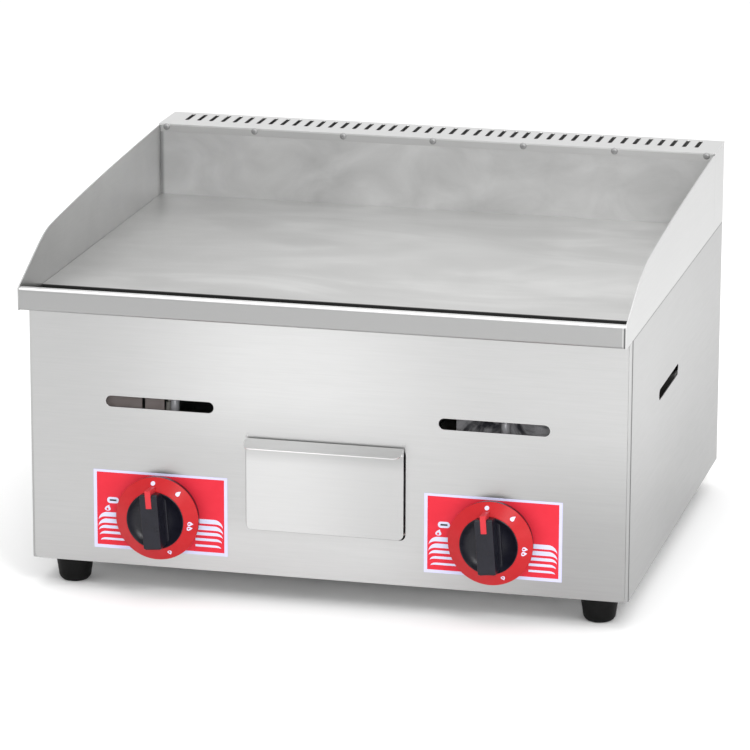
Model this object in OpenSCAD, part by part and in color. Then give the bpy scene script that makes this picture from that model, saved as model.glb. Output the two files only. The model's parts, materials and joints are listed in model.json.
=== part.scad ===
// Two-burner countertop gas griddle with a grease gutter, a slotted flue and a drip tray.
// The origin is on the floor under the middle of the appliance, with +X to the right as
// seen from the front, +Y to the back and +Z up. Inside place(), y is counted from the
// front panel's outer face and z from the underside of the body.

/* [Body] */
// Width across the side panels
body_w = 550; // [530:5:590]
// Depth from the front panel to the rear panel
body_d = 474; // [470:2:500]
// Height from the underside to the griddle plate
body_h = 238.5; // [236:0.5:250]
// Thickness of the stainless sheet
sheet = 1.2; // [1:0.1:1.4]
// Outer radius of the sheet's bends
bend_r = 3; // [2.5:0.5:4]
// Height of the rubber feet
foot_h = 27; // [24:1:32]
// Radius of a foot where it meets the body
foot_r = 18; // [16:0.5:20]
// Distance from a foot's centre to the nearest panels
foot_inset = 31; // [28:1:40]

/* [Cooking top] */
// Thickness of the griddle plate
plate_t = 8; // [6:1:12]
// Distance from the front panel to the griddle plate's front edge
plate_y = 38; // [34:1:44]
// Depth of the griddle plate
plate_d = 380; // [370:5:385]
// Reach of the front lip ahead of the front panel
lip_reach = 29; // [24:1:32]
// Height of the front lip
lip_h = 20.5; // [18:0.5:24]
// Depth of the lip's folded top edge
hem_d = 12; // [8:1:16]
// Height of the back splash and flue above the body
splash_h = 78.4; // [76:0.2:84]
// Number of slots in the flue cover
flue_slots = 43; // [31:2:43]
// Distance between neighbouring flue slots
flue_pitch = 12.05; // [12:0.05:12.2]
// Number of screws along the flue cover's front flange
cover_screws = 7; // [5:1:9]

/* [Openings] */
// Length of the vent slots in the front and side panels
vent_len = 100; // [80:2:110]
// Height of the vent slots
vent_h = 10; // [8:1:12]
// Height of the vent slots' centre above the underside
vent_z = 152.3; // [148:0.1:158]
// Distance from the front panel to the centre of a side vent
side_vent_y = 189; // [180:1:220]

/* [Drip tray] */
// Half the width of the tray's front
tray_half = 72.2; // [70:0.2:74]
// Lowest edge of the tray's front
tray_z = 43; // [42:0.5:46]
// Height of the tray's front
tray_h = 85; // [80:1:86]
// Distance from the front panel to the tray's rear wall
tray_d = 222; // [200:2:230]
// Depth of the tray's folded finger flange
flange_d = 15; // [12:1:18]
// Slope of the finger flange
flange_slope = 21; // [15:1:30]

/* [Controls] */
// Distance from the middle of the front to a knob's axis
knob_x = 153; // [150:1:160]
// Height of the knobs' axes above the underside
knob_z = 49; // [47:0.5:50]
// Radius of a knob's skirt ring
skirt_r = 38.5; // [36:0.5:40]
// Radius of the dish inside the skirt ring
dish_r = 26.4; // [25:0.2:28]
// Width of a knob's grip bar
grip_w = 17; // [14:0.5:19]
// Distance from the front panel to the face of a grip bar
grip_reach = 33; // [31:0.5:36]
// Small turn of the knobs at the off stop
rest_turn = 4.5; // [0:0.5:8]
// Travel of a knob when it is pushed in
push_travel = 3; // [2:0.5:3]

/* [Gas train] */
// Radius of the burner tubes
burner_r = 14; // [12:0.5:16]
// Half the distance between a burner's two legs
burner_half = 62; // [56:1:70]
// Height of the burners' centreline above the underside
burner_z = 150; // [148:1:156]
// Radius of the gas pipes
pipe_r = 8; // [7:0.5:9]
// Height of the gas manifold above the underside
manifold_z = 22; // [20:1:24]
// Reach of the gas inlet behind the rear panel
inlet_reach = 28; // [24:1:34]
// Radius of the gas inlet's outer thread
inlet_r = 10.48; // [8.2:0.02:13.2]

/* [Hidden] */
$fn = 48;
LEFT = -1;
RIGHT = 1;

// Colours of the finishes
steel = [0.86, 0.87, 0.88];
steel_dark = [0.68, 0.69, 0.71];
plate_grey = [0.78, 0.78, 0.78];
zinc = [0.72, 0.73, 0.70];
brass = [0.80, 0.66, 0.34];
ceramic = [0.95, 0.94, 0.90];
rubber = [0.10, 0.10, 0.11];
knob_black = [0.14, 0.14, 0.16];
knob_red = [0.84, 0.18, 0.20];
label_red = [0.95, 0.20, 0.28];

half_w = body_w / 2;
inner_half = half_w - sheet;
face_half = half_w - bend_r;
fold_w = 18;
top_z = body_h + splash_h;
lip_z = body_h + lip_h;
plate_rear = plate_y + plate_d;
pointer_proud = 0.6;
pointer_w = 5.2;
front_reach = grip_reach + pointer_proud;
front_y = -(front_reach + body_d + inlet_reach) / 2 + front_reach;

// Splash guard: the top edge falls gently from the flue to the shoulder, bends there
// and runs straight down to the lip
guard_gap = 0.3;
guard_rear_y = plate_rear + 3;
guard_rear_z = top_z - sheet - guard_gap;
crown = [190, lip_z + 47.5];
shoulder_rear = [70, lip_z + 36.3];
shoulder = [50.7, lip_z + 34.5];
shoulder_front = [28, lip_z + 24.7];

// Flue
flue_slot_w = 4;
flue_slot_l = 29;
flue_slot_y = plate_rear + 35.5;
cover_flange_h = 8;
cover_screw_z = top_z - 3;
cover_screw_half = inner_half - 6.8;

// Rear panel and base
air_slot = 52;
base_upturn = 6;
panel_screw_r = 3.4;

// Grease drain
drain_y = 18;
drain_r = 10;
spout_low = 112;

// Foot bolts
bolt_r = 3;
bolt_head_r = 6;
foot_recess = 9;

// Drip tray
tray_front_y = -3.5;
bin_half = 70;
bin_low = tray_z + 3;
bin_top = 106;
bin_wall = 1;
cutout_gap = 1;
corner_r = 5;
guide_x = 71.5;
shelf_gap = 0.3;

// Control labels
label_t = 0.3;
label_low = 14.5;
label_high = 88;
label_half = 62.5;

// Knob and valve, as distances behind the front panel's face
skirt_back = push_travel + 1.2;
skirt_rim = skirt_back + 7;
skirt_top = skirt_rim + 7.2;
ring_t = 0.8;
stem_r = 4;
stem_fit = 0.05;
flat_cut = 1.5;
flat_start = 7;
bonnet_y = 8;
cavity_y = 14;
cavity_r = 7.5;
plug_y = 28;
plug_end = 55;
plug_r1 = 7;
plug_r2 = 6;
plug_fit = 0.05;
socket_w = 4.9;
tail_w = 4.8;
tail_end = 38;
port_y = 49;
port_r = 2.5;
valve_end = 60;
valve_r = 12;
boss_r = 7.5;
collar_y = cavity_y + 0.3;
collar_t = 2;
spring_wire = 0.6;
spring_r = 5.8;
spring_turns = 4;

// Burner and injector
bend_y = 200;
leg_end = 385;
tube_wall = 1.2;
mixing_r = 11;
mixing_y = 92;
port_pitch = 12;
leg_ports = 14;
bracket_y = 72;
bracket_t = 1.5;
injector_r = 4;
nose_end = 88;
rail_low = 112;
rail_t = 1.5;
feed_r = 4;
feed_bend = 12;
electrode_x = 167;
electrode_y = 79;
electrode_low = 108;
lead_r = 1.75;
supply_x = 215;
supply_bend = 20;

// Moves a part from the body's frame to the floor frame.
module place() {
    translate([0, front_y, foot_h]) children();
}

// Mirrors a part that is drawn for the right-hand side.
module sided(side) {
    mirror([side == LEFT ? 1 : 0, 0, 0]) children();
}

// Box between two corners.
module block(low, high) {
    translate(low) cube(high - low);
}

// Rectangle between two corners.
module area(low, high) {
    translate(low) square(high - low);
}

// Rectangle between two corners, with round corners.
module soft_area(low, high, r) {
    area([low.x + r, low.y], [high.x - r, high.y]);
    area([low.x, low.y + r], [high.x, high.y - r]);
    for (x = [low.x + r, high.x - r])
        for (y = [low.y + r, high.y - r])
            translate([x, y]) circle(r);
}

// Slot with round ends, along x and centred.
module slot(length, width) {
    square([length - width, width], center = true);
    for (x = [-1, 1]) translate([x * (length - width) / 2, 0]) circle(width / 2);
}

// Outline in x and z as a plate from y to y + t.
module upright(y, t) {
    translate([0, y + t, 0]) rotate([90, 0, 0]) linear_extrude(t) children();
}

// Outline in y and z as a plate from x to x + t.
module lengthwise(x, t) {
    translate([x, 0, 0]) rotate([90, 0, 90]) linear_extrude(t) children();
}

// Cylinder along +Y from y0 to y1.
module bar_y(y0, y1, r, r_end = undef) {
    translate([0, y0, 0])
        rotate([-90, 0, 0])
            cylinder(h = y1 - y0, r1 = r, r2 = r_end == undef ? r : r_end);
}

// Six-sided nut along +Y, measured across its flats.
module hex_y(y0, y1, flats) {
    translate([0, y0, 0])
        rotate([-90, 0, 0])
            cylinder(h = y1 - y0, r = flats / sqrt(3), $fn = 6);
}

// Points of a curve with one control point, from its start up to its end.
function curve(p0, p1, p2, n) =
    [for (i = [0 : n]) let (t = i / n)
        p0 * (1 - t) * (1 - t) + p1 * 2 * t * (1 - t) + p2 * t * t];

// Front panel with two vent slots, the tray opening and two stem holes.
module front_panel() {
    color(steel) place() difference() {
        union() {
            upright(0, sheet) {
                area([-face_half, corner_r], [face_half, body_h]);
                area([-face_half + corner_r, 0], [face_half - corner_r, corner_r + 1]);
                for (x = [-1, 1]) translate([x * (face_half - corner_r), corner_r]) circle(corner_r);
            }
            block([-half_w + 20, sheet, body_h - sheet], [half_w - 20, 16, body_h]);
        }
        upright(-1, sheet + 2) {
            for (x = [-knob_x, knob_x]) {
                translate([x, vent_z]) slot(vent_len, vent_h);
                translate([x, knob_z]) circle(stem_r + 1.5);
            }
            soft_area([-tray_half - cutout_gap, tray_z - cutout_gap],
                      [tray_half + cutout_gap, tray_z + tray_h - 2], corner_r);
        }
        translate([0, drain_y, body_h - 5]) cylinder(h = 10, r = drain_r + 6);
    }
}

// Plan of a side panel: a web with a short fold at the front and at the rear.
module side_plan() {
    difference() {
        soft_area([half_w - 60, sheet], [half_w, body_d - sheet], bend_r);
        soft_area([half_w - 58, 2 * sheet], [inner_half, body_d - 2 * sheet], bend_r - sheet);
        area([half_w - 61, 0], [half_w - fold_w, body_d]);
    }
}

// Side panel with a folded top edge, which carries the plate, and a vent slot.
module side_panel(side) {
    color(steel_dark) place() sided(side) difference() {
        union() {
            linear_extrude(body_h) side_plan();
            block([half_w - fold_w, 20, body_h - sheet], [inner_half, body_d - 20, body_h]);
        }
        lengthwise(half_w - 10, 20) translate([side_vent_y, vent_z]) slot(vent_len, vent_h);
    }
}

// Places of the rear panel's screws, in x and z.
function panel_screw_places() =
    [for (x = [-1, 1]) for (z = [20, body_h / 2, body_h - 20]) [x * (half_w - 11), z]];

// Rear panel with two rows of air slots and the gas inlet's hole.
module rear_panel() {
    color(steel_dark) place() difference() {
        upright(body_d - sheet, sheet) area([-face_half, 0], [face_half, body_h]);
        upright(body_d - 5, 10) {
            for (x = [-180 : 90 : 180])
                for (z = [110, 135]) translate([x, z]) slot(air_slot, 8);
            translate([supply_x, manifold_z]) circle(inlet_r + 0.6);
            for (p = panel_screw_places()) translate(p) circle(panel_screw_r * 0.45 + 0.05);
        }
    }
}

// Pan-head screw along Y, with its head's seat at y and its tip further back.
module pan_screw(y, toward, length, head_r) {
    translate([0, y, 0]) rotate([toward * 90, 0, 0]) difference() {
        union() {
            cylinder(h = head_r * 0.35, r = head_r);
            translate([0, 0, head_r * 0.35]) cylinder(h = head_r * 0.25, r1 = head_r, r2 = head_r * 0.6);
            translate([0, 0, -length]) cylinder(h = length, r = head_r * 0.45);
        }
        for (turn = [0, 90])
            rotate(turn) translate([0, 0, head_r * 0.5])
                cube([head_r * 1.1, head_r * 0.22, head_r * 0.5], center = true);
    }
}

// Screws that hold the rear panel to the side panels' folds.
module panel_screws() {
    color(zinc) place()
        for (p = panel_screw_places())
            translate([p.x, 0, p.y]) pan_screw(body_d, -1, sheet, panel_screw_r);
}

// Base pan with upturned edges, bolt holes for the feet and air slots under the burners.
module base_pan() {
    color(steel_dark) place() difference() {
        union() {
            linear_extrude(sheet)
                soft_area([-inner_half, 2 * sheet], [inner_half, body_d - 2 * sheet], 2);
            for (y = [2 * sheet, body_d - 3 * sheet])
                block([-half_w + 20, y, 0], [half_w - 20, y + sheet, base_upturn]);
        }
        translate([0, 0, -1]) linear_extrude(sheet + 2) {
            for (x = [-1, 1]) {
                for (y = [foot_inset, body_d - foot_inset])
                    translate([x * (half_w - foot_inset), y]) circle(bolt_r + 0.2);
                for (y = [180 : 45 : 360])
                    for (dx = [-32, 32]) translate([x * knob_x + dx, y]) slot(air_slot, 12);
            }
        }
    }
}

// Griddle plate, carried by the side panels' folded top edges.
module griddle_plate() {
    color(plate_grey) place()
        block([-inner_half, plate_y, body_h], [inner_half, plate_rear, body_h + plate_t]);
}

// Grease gutter and front lip in one bent sheet, with the drain hole.
module grease_gutter() {
    color(steel) place() difference() {
        lengthwise(-inner_half, 2 * inner_half) difference() {
            soft_area([-lip_reach, body_h], [plate_y + 20, lip_z], bend_r);
            soft_area([-lip_reach + sheet, body_h + sheet], [plate_y + 25, lip_z - sheet], bend_r - sheet);
            area([-lip_reach + hem_d, body_h + sheet], [plate_y + 30, lip_z + 1]);
            area([plate_y, body_h - 1], [plate_y + 30, lip_z + 1]);
        }
        translate([0, drain_y, body_h - 5]) cylinder(h = 10, r = drain_r);
    }
}

// Splash guard: a sheet beside the plate, low at the lip and high at the flue.
module splash_guard(side) {
    top = concat(curve([guard_rear_y, guard_rear_z], crown, shoulder_rear, 10),
                 curve(shoulder_rear, shoulder, shoulder_front, 6),
                 [[-lip_reach, lip_z]]);
    color(steel) place() sided(side)
        lengthwise(inner_half, sheet)
            polygon(concat(top, [[-lip_reach, body_h], [guard_rear_y, body_h]]));
}

// Places along the flue cover's front flange where a screw goes.
function cover_screw_x() =
    [for (i = [0 : cover_screws - 1]) -cover_screw_half + i * 2 * cover_screw_half / (cover_screws - 1)];

// Back splash between the plate and the flue, with a fold at each end.
module back_splash() {
    color(steel_dark) place() difference() {
        union() {
            upright(plate_rear, sheet) area([-inner_half, body_h], [inner_half, top_z - sheet]);
            for (side = [LEFT, RIGHT]) sided(side)
                block([inner_half - sheet, plate_rear, body_h], [inner_half, plate_rear + 14, top_z - sheet]);
        }
        for (x = cover_screw_x()) translate([x, 0, cover_screw_z]) bar_y(plate_rear - 2, plate_rear + 3, 1.6);
    }
}

// Flue box: rear wall and two ends in one bent sheet.
module flue_box() {
    color(steel) place() translate([0, 0, body_h]) linear_extrude(splash_h - sheet) difference() {
        soft_area([-half_w, plate_rear - 20], [half_w, body_d], bend_r);
        soft_area([-inner_half, plate_rear - 25], [inner_half, body_d - sheet], bend_r - sheet);
        area([-half_w - 1, plate_rear - 30], [half_w + 1, guard_rear_y + guard_gap]);
    }
}

// Flue cover with a row of slots and a front flange over the back splash.
module flue_cover() {
    color(steel) place() {
        translate([0, 0, top_z - sheet]) linear_extrude(sheet) difference() {
            area([-half_w, plate_rear - sheet], [half_w, body_d]);
            for (i = [0 : flue_slots - 1])
                translate([(i - (flue_slots - 1) / 2) * flue_pitch, flue_slot_y])
                    rotate(90) slot(flue_slot_l, flue_slot_w);
        }
        difference() {
            upright(plate_rear - sheet, sheet)
                area([-inner_half + 0.1, top_z - cover_flange_h], [inner_half - 0.1, top_z - sheet]);
            for (x = cover_screw_x())
                translate([x, 0, cover_screw_z]) bar_y(plate_rear - 3, plate_rear + 1, 1.6);
        }
    }
}

// Screws through the flue cover's front flange.
module flue_cover_screws() {
    color(zinc) place()
        for (x = cover_screw_x())
            translate([x, 0, cover_screw_z]) pan_screw(plate_rear - sheet, 1, 6, 3.3);
}

// Spout that leads grease from the gutter down to the drip tray.
module drain_spout() {
    color(steel_dark) place() translate([0, drain_y, 0]) difference() {
        union() {
            translate([0, 0, spout_low]) cylinder(h = body_h - spout_low, r = drain_r + 1);
            translate([0, 0, body_h - sheet]) cylinder(h = sheet, r = drain_r + 5);
        }
        translate([0, 0, spout_low - 1]) cylinder(h = body_h - spout_low + 2, r = drain_r);
    }
}

// Solid outline of a burner's U-shaped tube and its mixing tube.
module burner_body(r, r_mix, end, start) {
    translate([0, bend_y, 0])
        rotate(180) rotate_extrude(angle = 180) translate([burner_half, 0]) circle(r);
    for (x = [-burner_half, burner_half])
        translate([x, 0, 0]) bar_y(bend_y, end, r);
    bar_y(start, bend_y - burner_half, r_mix);
}

// Burner: a U-shaped tube with a row of flame ports along the top of each leg.
module burner(side) {
    color(zinc) place() translate([side * knob_x, 0, burner_z]) difference() {
        burner_body(burner_r, mixing_r, leg_end, mixing_y);
        burner_body(burner_r - tube_wall, mixing_r - tube_wall, leg_end - tube_wall, mixing_y - 1);
        for (x = [-burner_half, burner_half])
            for (i = [0 : leg_ports - 1])
                translate([x - 5, bend_y + 8 + i * port_pitch, burner_r - 4]) cube([10, 1.6, 6]);
    }
}

// Air shutter: a sleeve on the mixing tube's mouth, with four air windows.
module air_shutter(side) {
    color(zinc) place() translate([side * knob_x, 0, burner_z]) difference() {
        bar_y(nose_end - 6, mixing_y + 12, mixing_r + 1.6);
        bar_y(nose_end - 7, mixing_y + 13, injector_r + 0.2);
        bar_y(nose_end - 4.8, mixing_y + 13, mixing_r + 0.05);
        for (turn = [45, 135])
            rotate([0, turn, 0]) translate([-20, nose_end - 4, -4]) cube([40, 7, 8]);
    }
}

// Injector: a brass jet with a six-sided body and a fine orifice.
module injector(side) {
    color(brass) place() translate([side * knob_x, 0, burner_z]) difference() {
        union() {
            bar_y(bracket_y - 4, nose_end, injector_r);
            hex_y(bracket_y + bracket_t, bracket_y + 8, 13);
        }
        bar_y(bracket_y - 5, nose_end - 3, 2.2);
        bar_y(nose_end - 4, nose_end + 1, 0.6);
    }
}

// Injector bracket: a web from the side panel, on a leg that stands on the base.
module injector_bracket(side) {
    inner_x = side == LEFT ? 118 : 103;
    color(zinc) place() sided(side) difference() {
        union() {
            upright(bracket_y, bracket_t) {
                area([inner_x, 118], [inner_half, 168]);
                area([238, sheet], [266, 119]);
            }
            block([inner_half - bracket_t, bracket_y, 118], [inner_half, bracket_y + 16, 168]);
            block([238, bracket_y, sheet], [266, bracket_y + 18, sheet + bracket_t]);
            block([electrode_x - 8, bracket_y, 119], [electrode_x + 14, bracket_y + 15, 120.5]);
        }
        upright(bracket_y - 1, bracket_t + 2) {
            if (side == LEFT) {
                area([117, 117], [170, 138]);
                area([188, 117], [191, 146]);
            }
        }
        translate([knob_x, 0, burner_z]) bar_y(bracket_y - 1, bracket_y + 3, injector_r + 0.05);
        translate([electrode_x, electrode_y, 110]) cylinder(h = 20, r = 3.6);
    }
}

// Cross rail with a half-round saddle under each burner leg.
module burner_rail(y) {
    color(zinc) place() {
        upright(y, rail_t) difference() {
            area([-inner_half, rail_low], [inner_half, burner_z]);
            for (side = [LEFT, RIGHT])
                for (x = [-burner_half, burner_half])
                    translate([side * knob_x + x, burner_z]) circle(burner_r + 0.05);
        }
        for (side = [LEFT, RIGHT]) sided(side)
            block([inner_half - rail_t, y, rail_low], [inner_half, y + 16, burner_z]);
    }
}

// Gas manifold: a pipe under the drip tray with a boss below each valve.
module gas_manifold() {
    boss_top = knob_z - valve_r - 4;
    color(zinc) place() difference() {
        union() {
            translate([-knob_x - 17, port_y, manifold_z])
                rotate([0, 90, 0]) cylinder(h = supply_x - supply_bend + knob_x + 17, r = pipe_r);
            for (x = [-knob_x, knob_x])
                translate([x, port_y, manifold_z]) cylinder(h = boss_top - manifold_z, r = boss_r);
        }
        translate([-knob_x - 15, port_y, manifold_z])
            rotate([0, 90, 0]) cylinder(h = supply_x - supply_bend + knob_x + 20, r = pipe_r - 2);
        for (x = [-knob_x, knob_x])
            translate([x, port_y, manifold_z]) cylinder(h = 40, r = port_r);
    }
}

// Valve body: a gas tap with a tapered bore for its plug, a cavity for the spring and an
// igniter on its side.
module valve_body(side) {
    color(brass) place() translate([side * knob_x, 0, knob_z]) difference() {
        union() {
            bar_y(bonnet_y, valve_end, valve_r);
            translate([0, port_y, -valve_r - 4]) cylinder(h = valve_r + 4, r = boss_r);
            translate([0, port_y, 0]) cylinder(h = 20, r = boss_r);
            sided(side) block([valve_r - 3, 34, -7], [valve_r + 7, valve_end, 7]);
        }
        bar_y(bonnet_y - 1, cavity_y + 1, stem_r + stem_fit);
        bar_y(cavity_y, plug_y, cavity_r);
        bar_y(plug_y, plug_end, plug_r1 + plug_fit, plug_r2 + plug_fit);
        translate([0, port_y, -30]) cylinder(h = 60, r = port_r);
        translate([0, port_y, 15]) cylinder(h = 10, r = feed_r + 0.05);
    }
}

// Feed tube from the valve's outlet up to the injector, with a nut at its upper end.
module feed_tube(side) {
    rise = burner_z - feed_bend - knob_z;
    color(zinc) place() translate([side * knob_x, port_y, knob_z]) {
        difference() {
            translate([0, 0, 15]) cylinder(h = rise - 15, r = feed_r);
            translate([0, 0, 14]) cylinder(h = rise, r = feed_r - 1);
        }
        translate([0, feed_bend, rise]) rotate([0, -90, 0]) rotate(-90)
            rotate_extrude(angle = 90) translate([feed_bend, 0]) difference() {
                circle(feed_r);
                circle(feed_r - 1);
            }
        translate([0, 0, burner_z - knob_z]) difference() {
            union() {
                bar_y(feed_bend, bracket_y - port_y, feed_r + 0.6);
                hex_y(bracket_y - port_y - 8, bracket_y - port_y, 13);
            }
            bar_y(feed_bend - 1, bracket_y - port_y - 4, feed_r - 1);
            bar_y(bracket_y - port_y - 4, bracket_y - port_y + 1, injector_r + 0.05);
        }
    }
}

// Supply pipe from the manifold's end round to the gas inlet.
module gas_supply_pipe() {
    color(zinc) place() translate([supply_x, port_y, manifold_z]) {
        translate([-supply_bend, supply_bend, 0]) rotate(-90)
            rotate_extrude(angle = 90) translate([supply_bend, 0]) difference() {
                circle(pipe_r);
                circle(pipe_r - 2);
            }
        difference() {
            bar_y(supply_bend, body_d - 12 - port_y, pipe_r);
            bar_y(supply_bend - 1, body_d - port_y, pipe_r - 2);
        }
    }
}

// Gas inlet: a threaded nipple with a six-sided collar against the rear panel.
module gas_inlet() {
    color(brass) place() translate([supply_x, 0, manifold_z]) difference() {
        union() {
            bar_y(body_d - 12, body_d + inlet_reach, inlet_r);
            hex_y(body_d, body_d + 6, 27);
            hex_y(body_d - sheet - 6, body_d - sheet, 27);
        }
        bar_y(body_d - 13, body_d + inlet_reach + 1, pipe_r - 2);
    }
}

// Ignition electrode: a ceramic rod with a dark cap and a wire that reaches the burner.
module electrode(side) {
    color(ceramic) place() translate([side * electrode_x, electrode_y, 0]) {
        translate([0, 0, electrode_low]) cylinder(h = 20, r = 3.5);
        translate([0, 0, 120.5]) cylinder(h = 2, r = 4.6);
        translate([0, 0, 128]) cylinder(h = 5, r = 3.2);
        translate([0, 0, 133]) cylinder(h = 28, r = 1);
        translate([0, 0, 160]) bar_y(0, 36, 1);
    }
}

// Ignition lead from the valve's igniter up to the electrode.
module ignition_lead(side) {
    bend = 8;
    color(rubber) place() sided(side) translate([electrode_x, 0, knob_z]) {
        bar_y(valve_end, electrode_y - bend, lead_r);
        translate([0, electrode_y - bend, bend]) rotate([0, 90, 0])
            rotate_extrude(angle = 90) translate([bend, 0]) circle(lead_r);
        translate([0, electrode_y, bend]) cylinder(h = electrode_low - knob_z - bend, r = lead_r);
    }
}

// Self-adhesive control label with a hole for the stem.
module control_label(side) {
    color(label_red) place()
        upright(-label_t, label_t) difference() {
            translate([side * knob_x, 0]) area([-label_half, label_low], [label_half, label_high]);
            translate([side * knob_x, knob_z]) circle(stem_r + 2);
        }
}

// Rubber foot: tapered, rounded below, with a recess for its bolt's head.
module foot(x_side, y) {
    low_r = foot_r - 3;
    tread_r = 9.5;
    color(rubber) place() translate([x_side * (half_w - foot_inset), y, 0])
        rotate_extrude() difference() {
            polygon(concat(
                [[0, 0], [foot_r, 0]],
                curve([low_r, -foot_h + 7.5], [low_r - 0.6, -foot_h], [tread_r, -foot_h], 6),
                [[0, -foot_h]]));
            area([-1, -foot_h - 1], [bolt_r + 0.2, 1]);
            area([-1, -foot_h - 1], [bolt_head_r + 0.5, -foot_h + foot_recess]);
        }
}

// Places of the feet on the base.
function foot_places() =
    [for (x = [-1, 1]) for (y = [foot_inset, body_d - foot_inset]) [x * (half_w - foot_inset), y]];

// Bolts up through the feet, with their heads in the recesses.
module foot_bolts() {
    seat = -foot_h + foot_recess;
    color(zinc) place()
        for (p = foot_places()) translate([p.x, p.y, 0]) difference() {
            union() {
                translate([0, 0, seat - 4]) cylinder(h = 4, r = bolt_head_r);
                translate([0, 0, seat]) cylinder(h = sheet + 8 - seat, r = bolt_r);
            }
            translate([0, 0, seat - 5]) cylinder(h = 3, r = 2.9, $fn = 6);
        }
}

// Nuts that hold the feet's bolts on the base.
module foot_nuts() {
    color(zinc) place()
        for (p = foot_places()) translate([p.x, p.y, sheet]) difference() {
            cylinder(h = 5, r = 10 / sqrt(3), $fn = 6);
            translate([0, 0, -1]) cylinder(h = 7, r = bolt_r + 0.02);
        }
}

// Tray guide: an upright on the base with a shelf, a rear stop and a hole for the pipe.
module tray_guide(side) {
    color(zinc) place() sided(side) difference() {
        union() {
            block([guide_x, 8, sheet], [guide_x + sheet, 250, 60]);
            block([guide_x - 16, 8, bin_low - shelf_gap - sheet], [guide_x, 250, bin_low - shelf_gap]);
            block([guide_x, 8, sheet], [guide_x + 18, 250, 2 * sheet]);
            block([guide_x - 16, tray_d + shelf_gap, bin_low - 1], [guide_x, tray_d + 2, 60]);
        }
        translate([guide_x - 5, port_y, manifold_z]) rotate([0, 90, 0]) cylinder(h = 30, r = pipe_r + 1);
    }
}

// Drip tray's bin: an open box that slides on the guides.
module drip_tray_bin() {
    start = tray_front_y + sheet;
    color(steel) place() difference() {
        block([-bin_half, start, bin_low], [bin_half, tray_d, bin_top]);
        block([-bin_half + bin_wall, start + bin_wall, bin_low + bin_wall],
              [bin_half - bin_wall, tray_d - bin_wall, bin_top + 1]);
    }
}

// Drip tray's front with a sloping finger flange along its top edge.
module drip_tray_front() {
    bend_z = tray_z + tray_h - sheet;
    flange_r = 7;
    color(steel) place() {
        upright(tray_front_y, sheet) {
            area([-tray_half, tray_z + corner_r], [tray_half, bend_z]);
            area([-tray_half + corner_r, tray_z], [tray_half - corner_r, tray_z + corner_r + 1]);
            for (x = [-1, 1])
                translate([x * (tray_half - corner_r), tray_z + corner_r]) circle(corner_r);
        }
        translate([0, tray_front_y, bend_z]) {
            translate([-tray_half, 0, 0]) rotate([0, 90, 0]) cylinder(h = 2 * tray_half, r = sheet);
            rotate([flange_slope, 0, 0]) linear_extrude(sheet) {
                area([-tray_half, -flange_d + flange_r], [tray_half, 0]);
                area([-tray_half + flange_r, -flange_d], [tray_half - flange_r, -flange_d + flange_r + 1]);
                for (x = [-1, 1])
                    translate([x * (tray_half - flange_r), -flange_d + flange_r]) circle(flange_r);
            }
        }
    }
}

// Valve plug: tapered, with a square socket for the stem's tail and a cross port.
module valve_plug(side) {
    color(brass) place() translate([side * knob_x, 0, knob_z]) difference() {
        bar_y(plug_y, plug_end - 0.3, plug_r1, plug_r2);
        translate([-socket_w / 2, plug_y - 1, -socket_w / 2]) cube([socket_w, 17, socket_w]);
        translate([-20, port_y, 0]) rotate([0, 90, 0]) cylinder(h = 40, r = port_r);
    }
}

// Stem: a flatted shaft with a collar and a square tail that slides in the plug.
module stem(side) {
    front = -grip_reach + 13;
    color(zinc) place() translate([side * knob_x, 0, knob_z]) {
        difference() {
            bar_y(front, collar_y, stem_r);
            translate([-10, front - 1, stem_r - flat_cut]) cube([20, 1 - front - flat_start, 10]);
        }
        bar_y(collar_y, collar_y + collar_t, cavity_r - 0.6);
        translate([-tail_w / 2, collar_y + collar_t, -tail_w / 2])
            cube([tail_w, tail_end - collar_y - collar_t, tail_w]);
    }
}

// Closed tube swept along a helix about the Y axis.
module coil(y0, y1, turns, r, wire) {
    sides = 8;
    rings = turns * 16;
    points = [for (i = [0 : rings]) for (k = [0 : sides - 1])
        let (a = 360 * turns * i / rings,
             b = 360 * k / sides,
             out = r + wire * cos(b),
             y = y0 + (y1 - y0) * i / rings + wire * sin(b))
        [out * cos(a), y, out * sin(a)]];
    walls = [for (i = [0 : rings - 1]) for (k = [0 : sides - 1])
        let (n = (k + 1) % sides)
        [i * sides + k, (i + 1) * sides + k, (i + 1) * sides + n, i * sides + n]];
    start = [for (k = [0 : sides - 1]) k];
    end = [for (k = [sides - 1 : -1 : 0]) rings * sides + k];
    polyhedron(points, concat(walls, [start, end]), convexity = 6);
}

// Return spring between the stem's collar and the plug.
module return_spring(side) {
    gap = spring_wire + 0.1;
    color(steel_dark) place() translate([side * knob_x, 0, knob_z])
        coil(collar_y + collar_t + gap, plug_y - gap, spring_turns, spring_r, spring_wire);
}

// Draws a knob part about its axis: x to the right, y up and z out of the front panel.
module on_knob(side) {
    place() translate([side * knob_x, 0, knob_z]) rotate([90, 0, 0]) rotate(rest_turn) children();
}

// Knob's coloured ring: a thin conical plate on the skirt.
module knob_ring(side) {
    inner_r = dish_r + 0.02;
    color(knob_red) on_knob(side)
        rotate_extrude()
            polygon([
                [skirt_r, skirt_rim - ring_t], [skirt_r, skirt_rim], [dish_r + 0.8, skirt_top],
                [inner_r, skirt_top], [inner_r, skirt_top - ring_t], [dish_r + 0.8, skirt_top - ring_t]
            ]);
}

// Side outline of the pointer: along the bar's face, over its upper end and back to the ring.
module pointer_side() {
    polygon([
        [15.3, grip_reach - 1.5], [15.3, front_reach], [31.7, front_reach],
        [31.2, skirt_rim + 5.1], [dish_r + 0.8, skirt_top + 0.5],
        [25.4, skirt_top + 1.2], [25.4, grip_reach - 1.5]
    ]);
}

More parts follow.
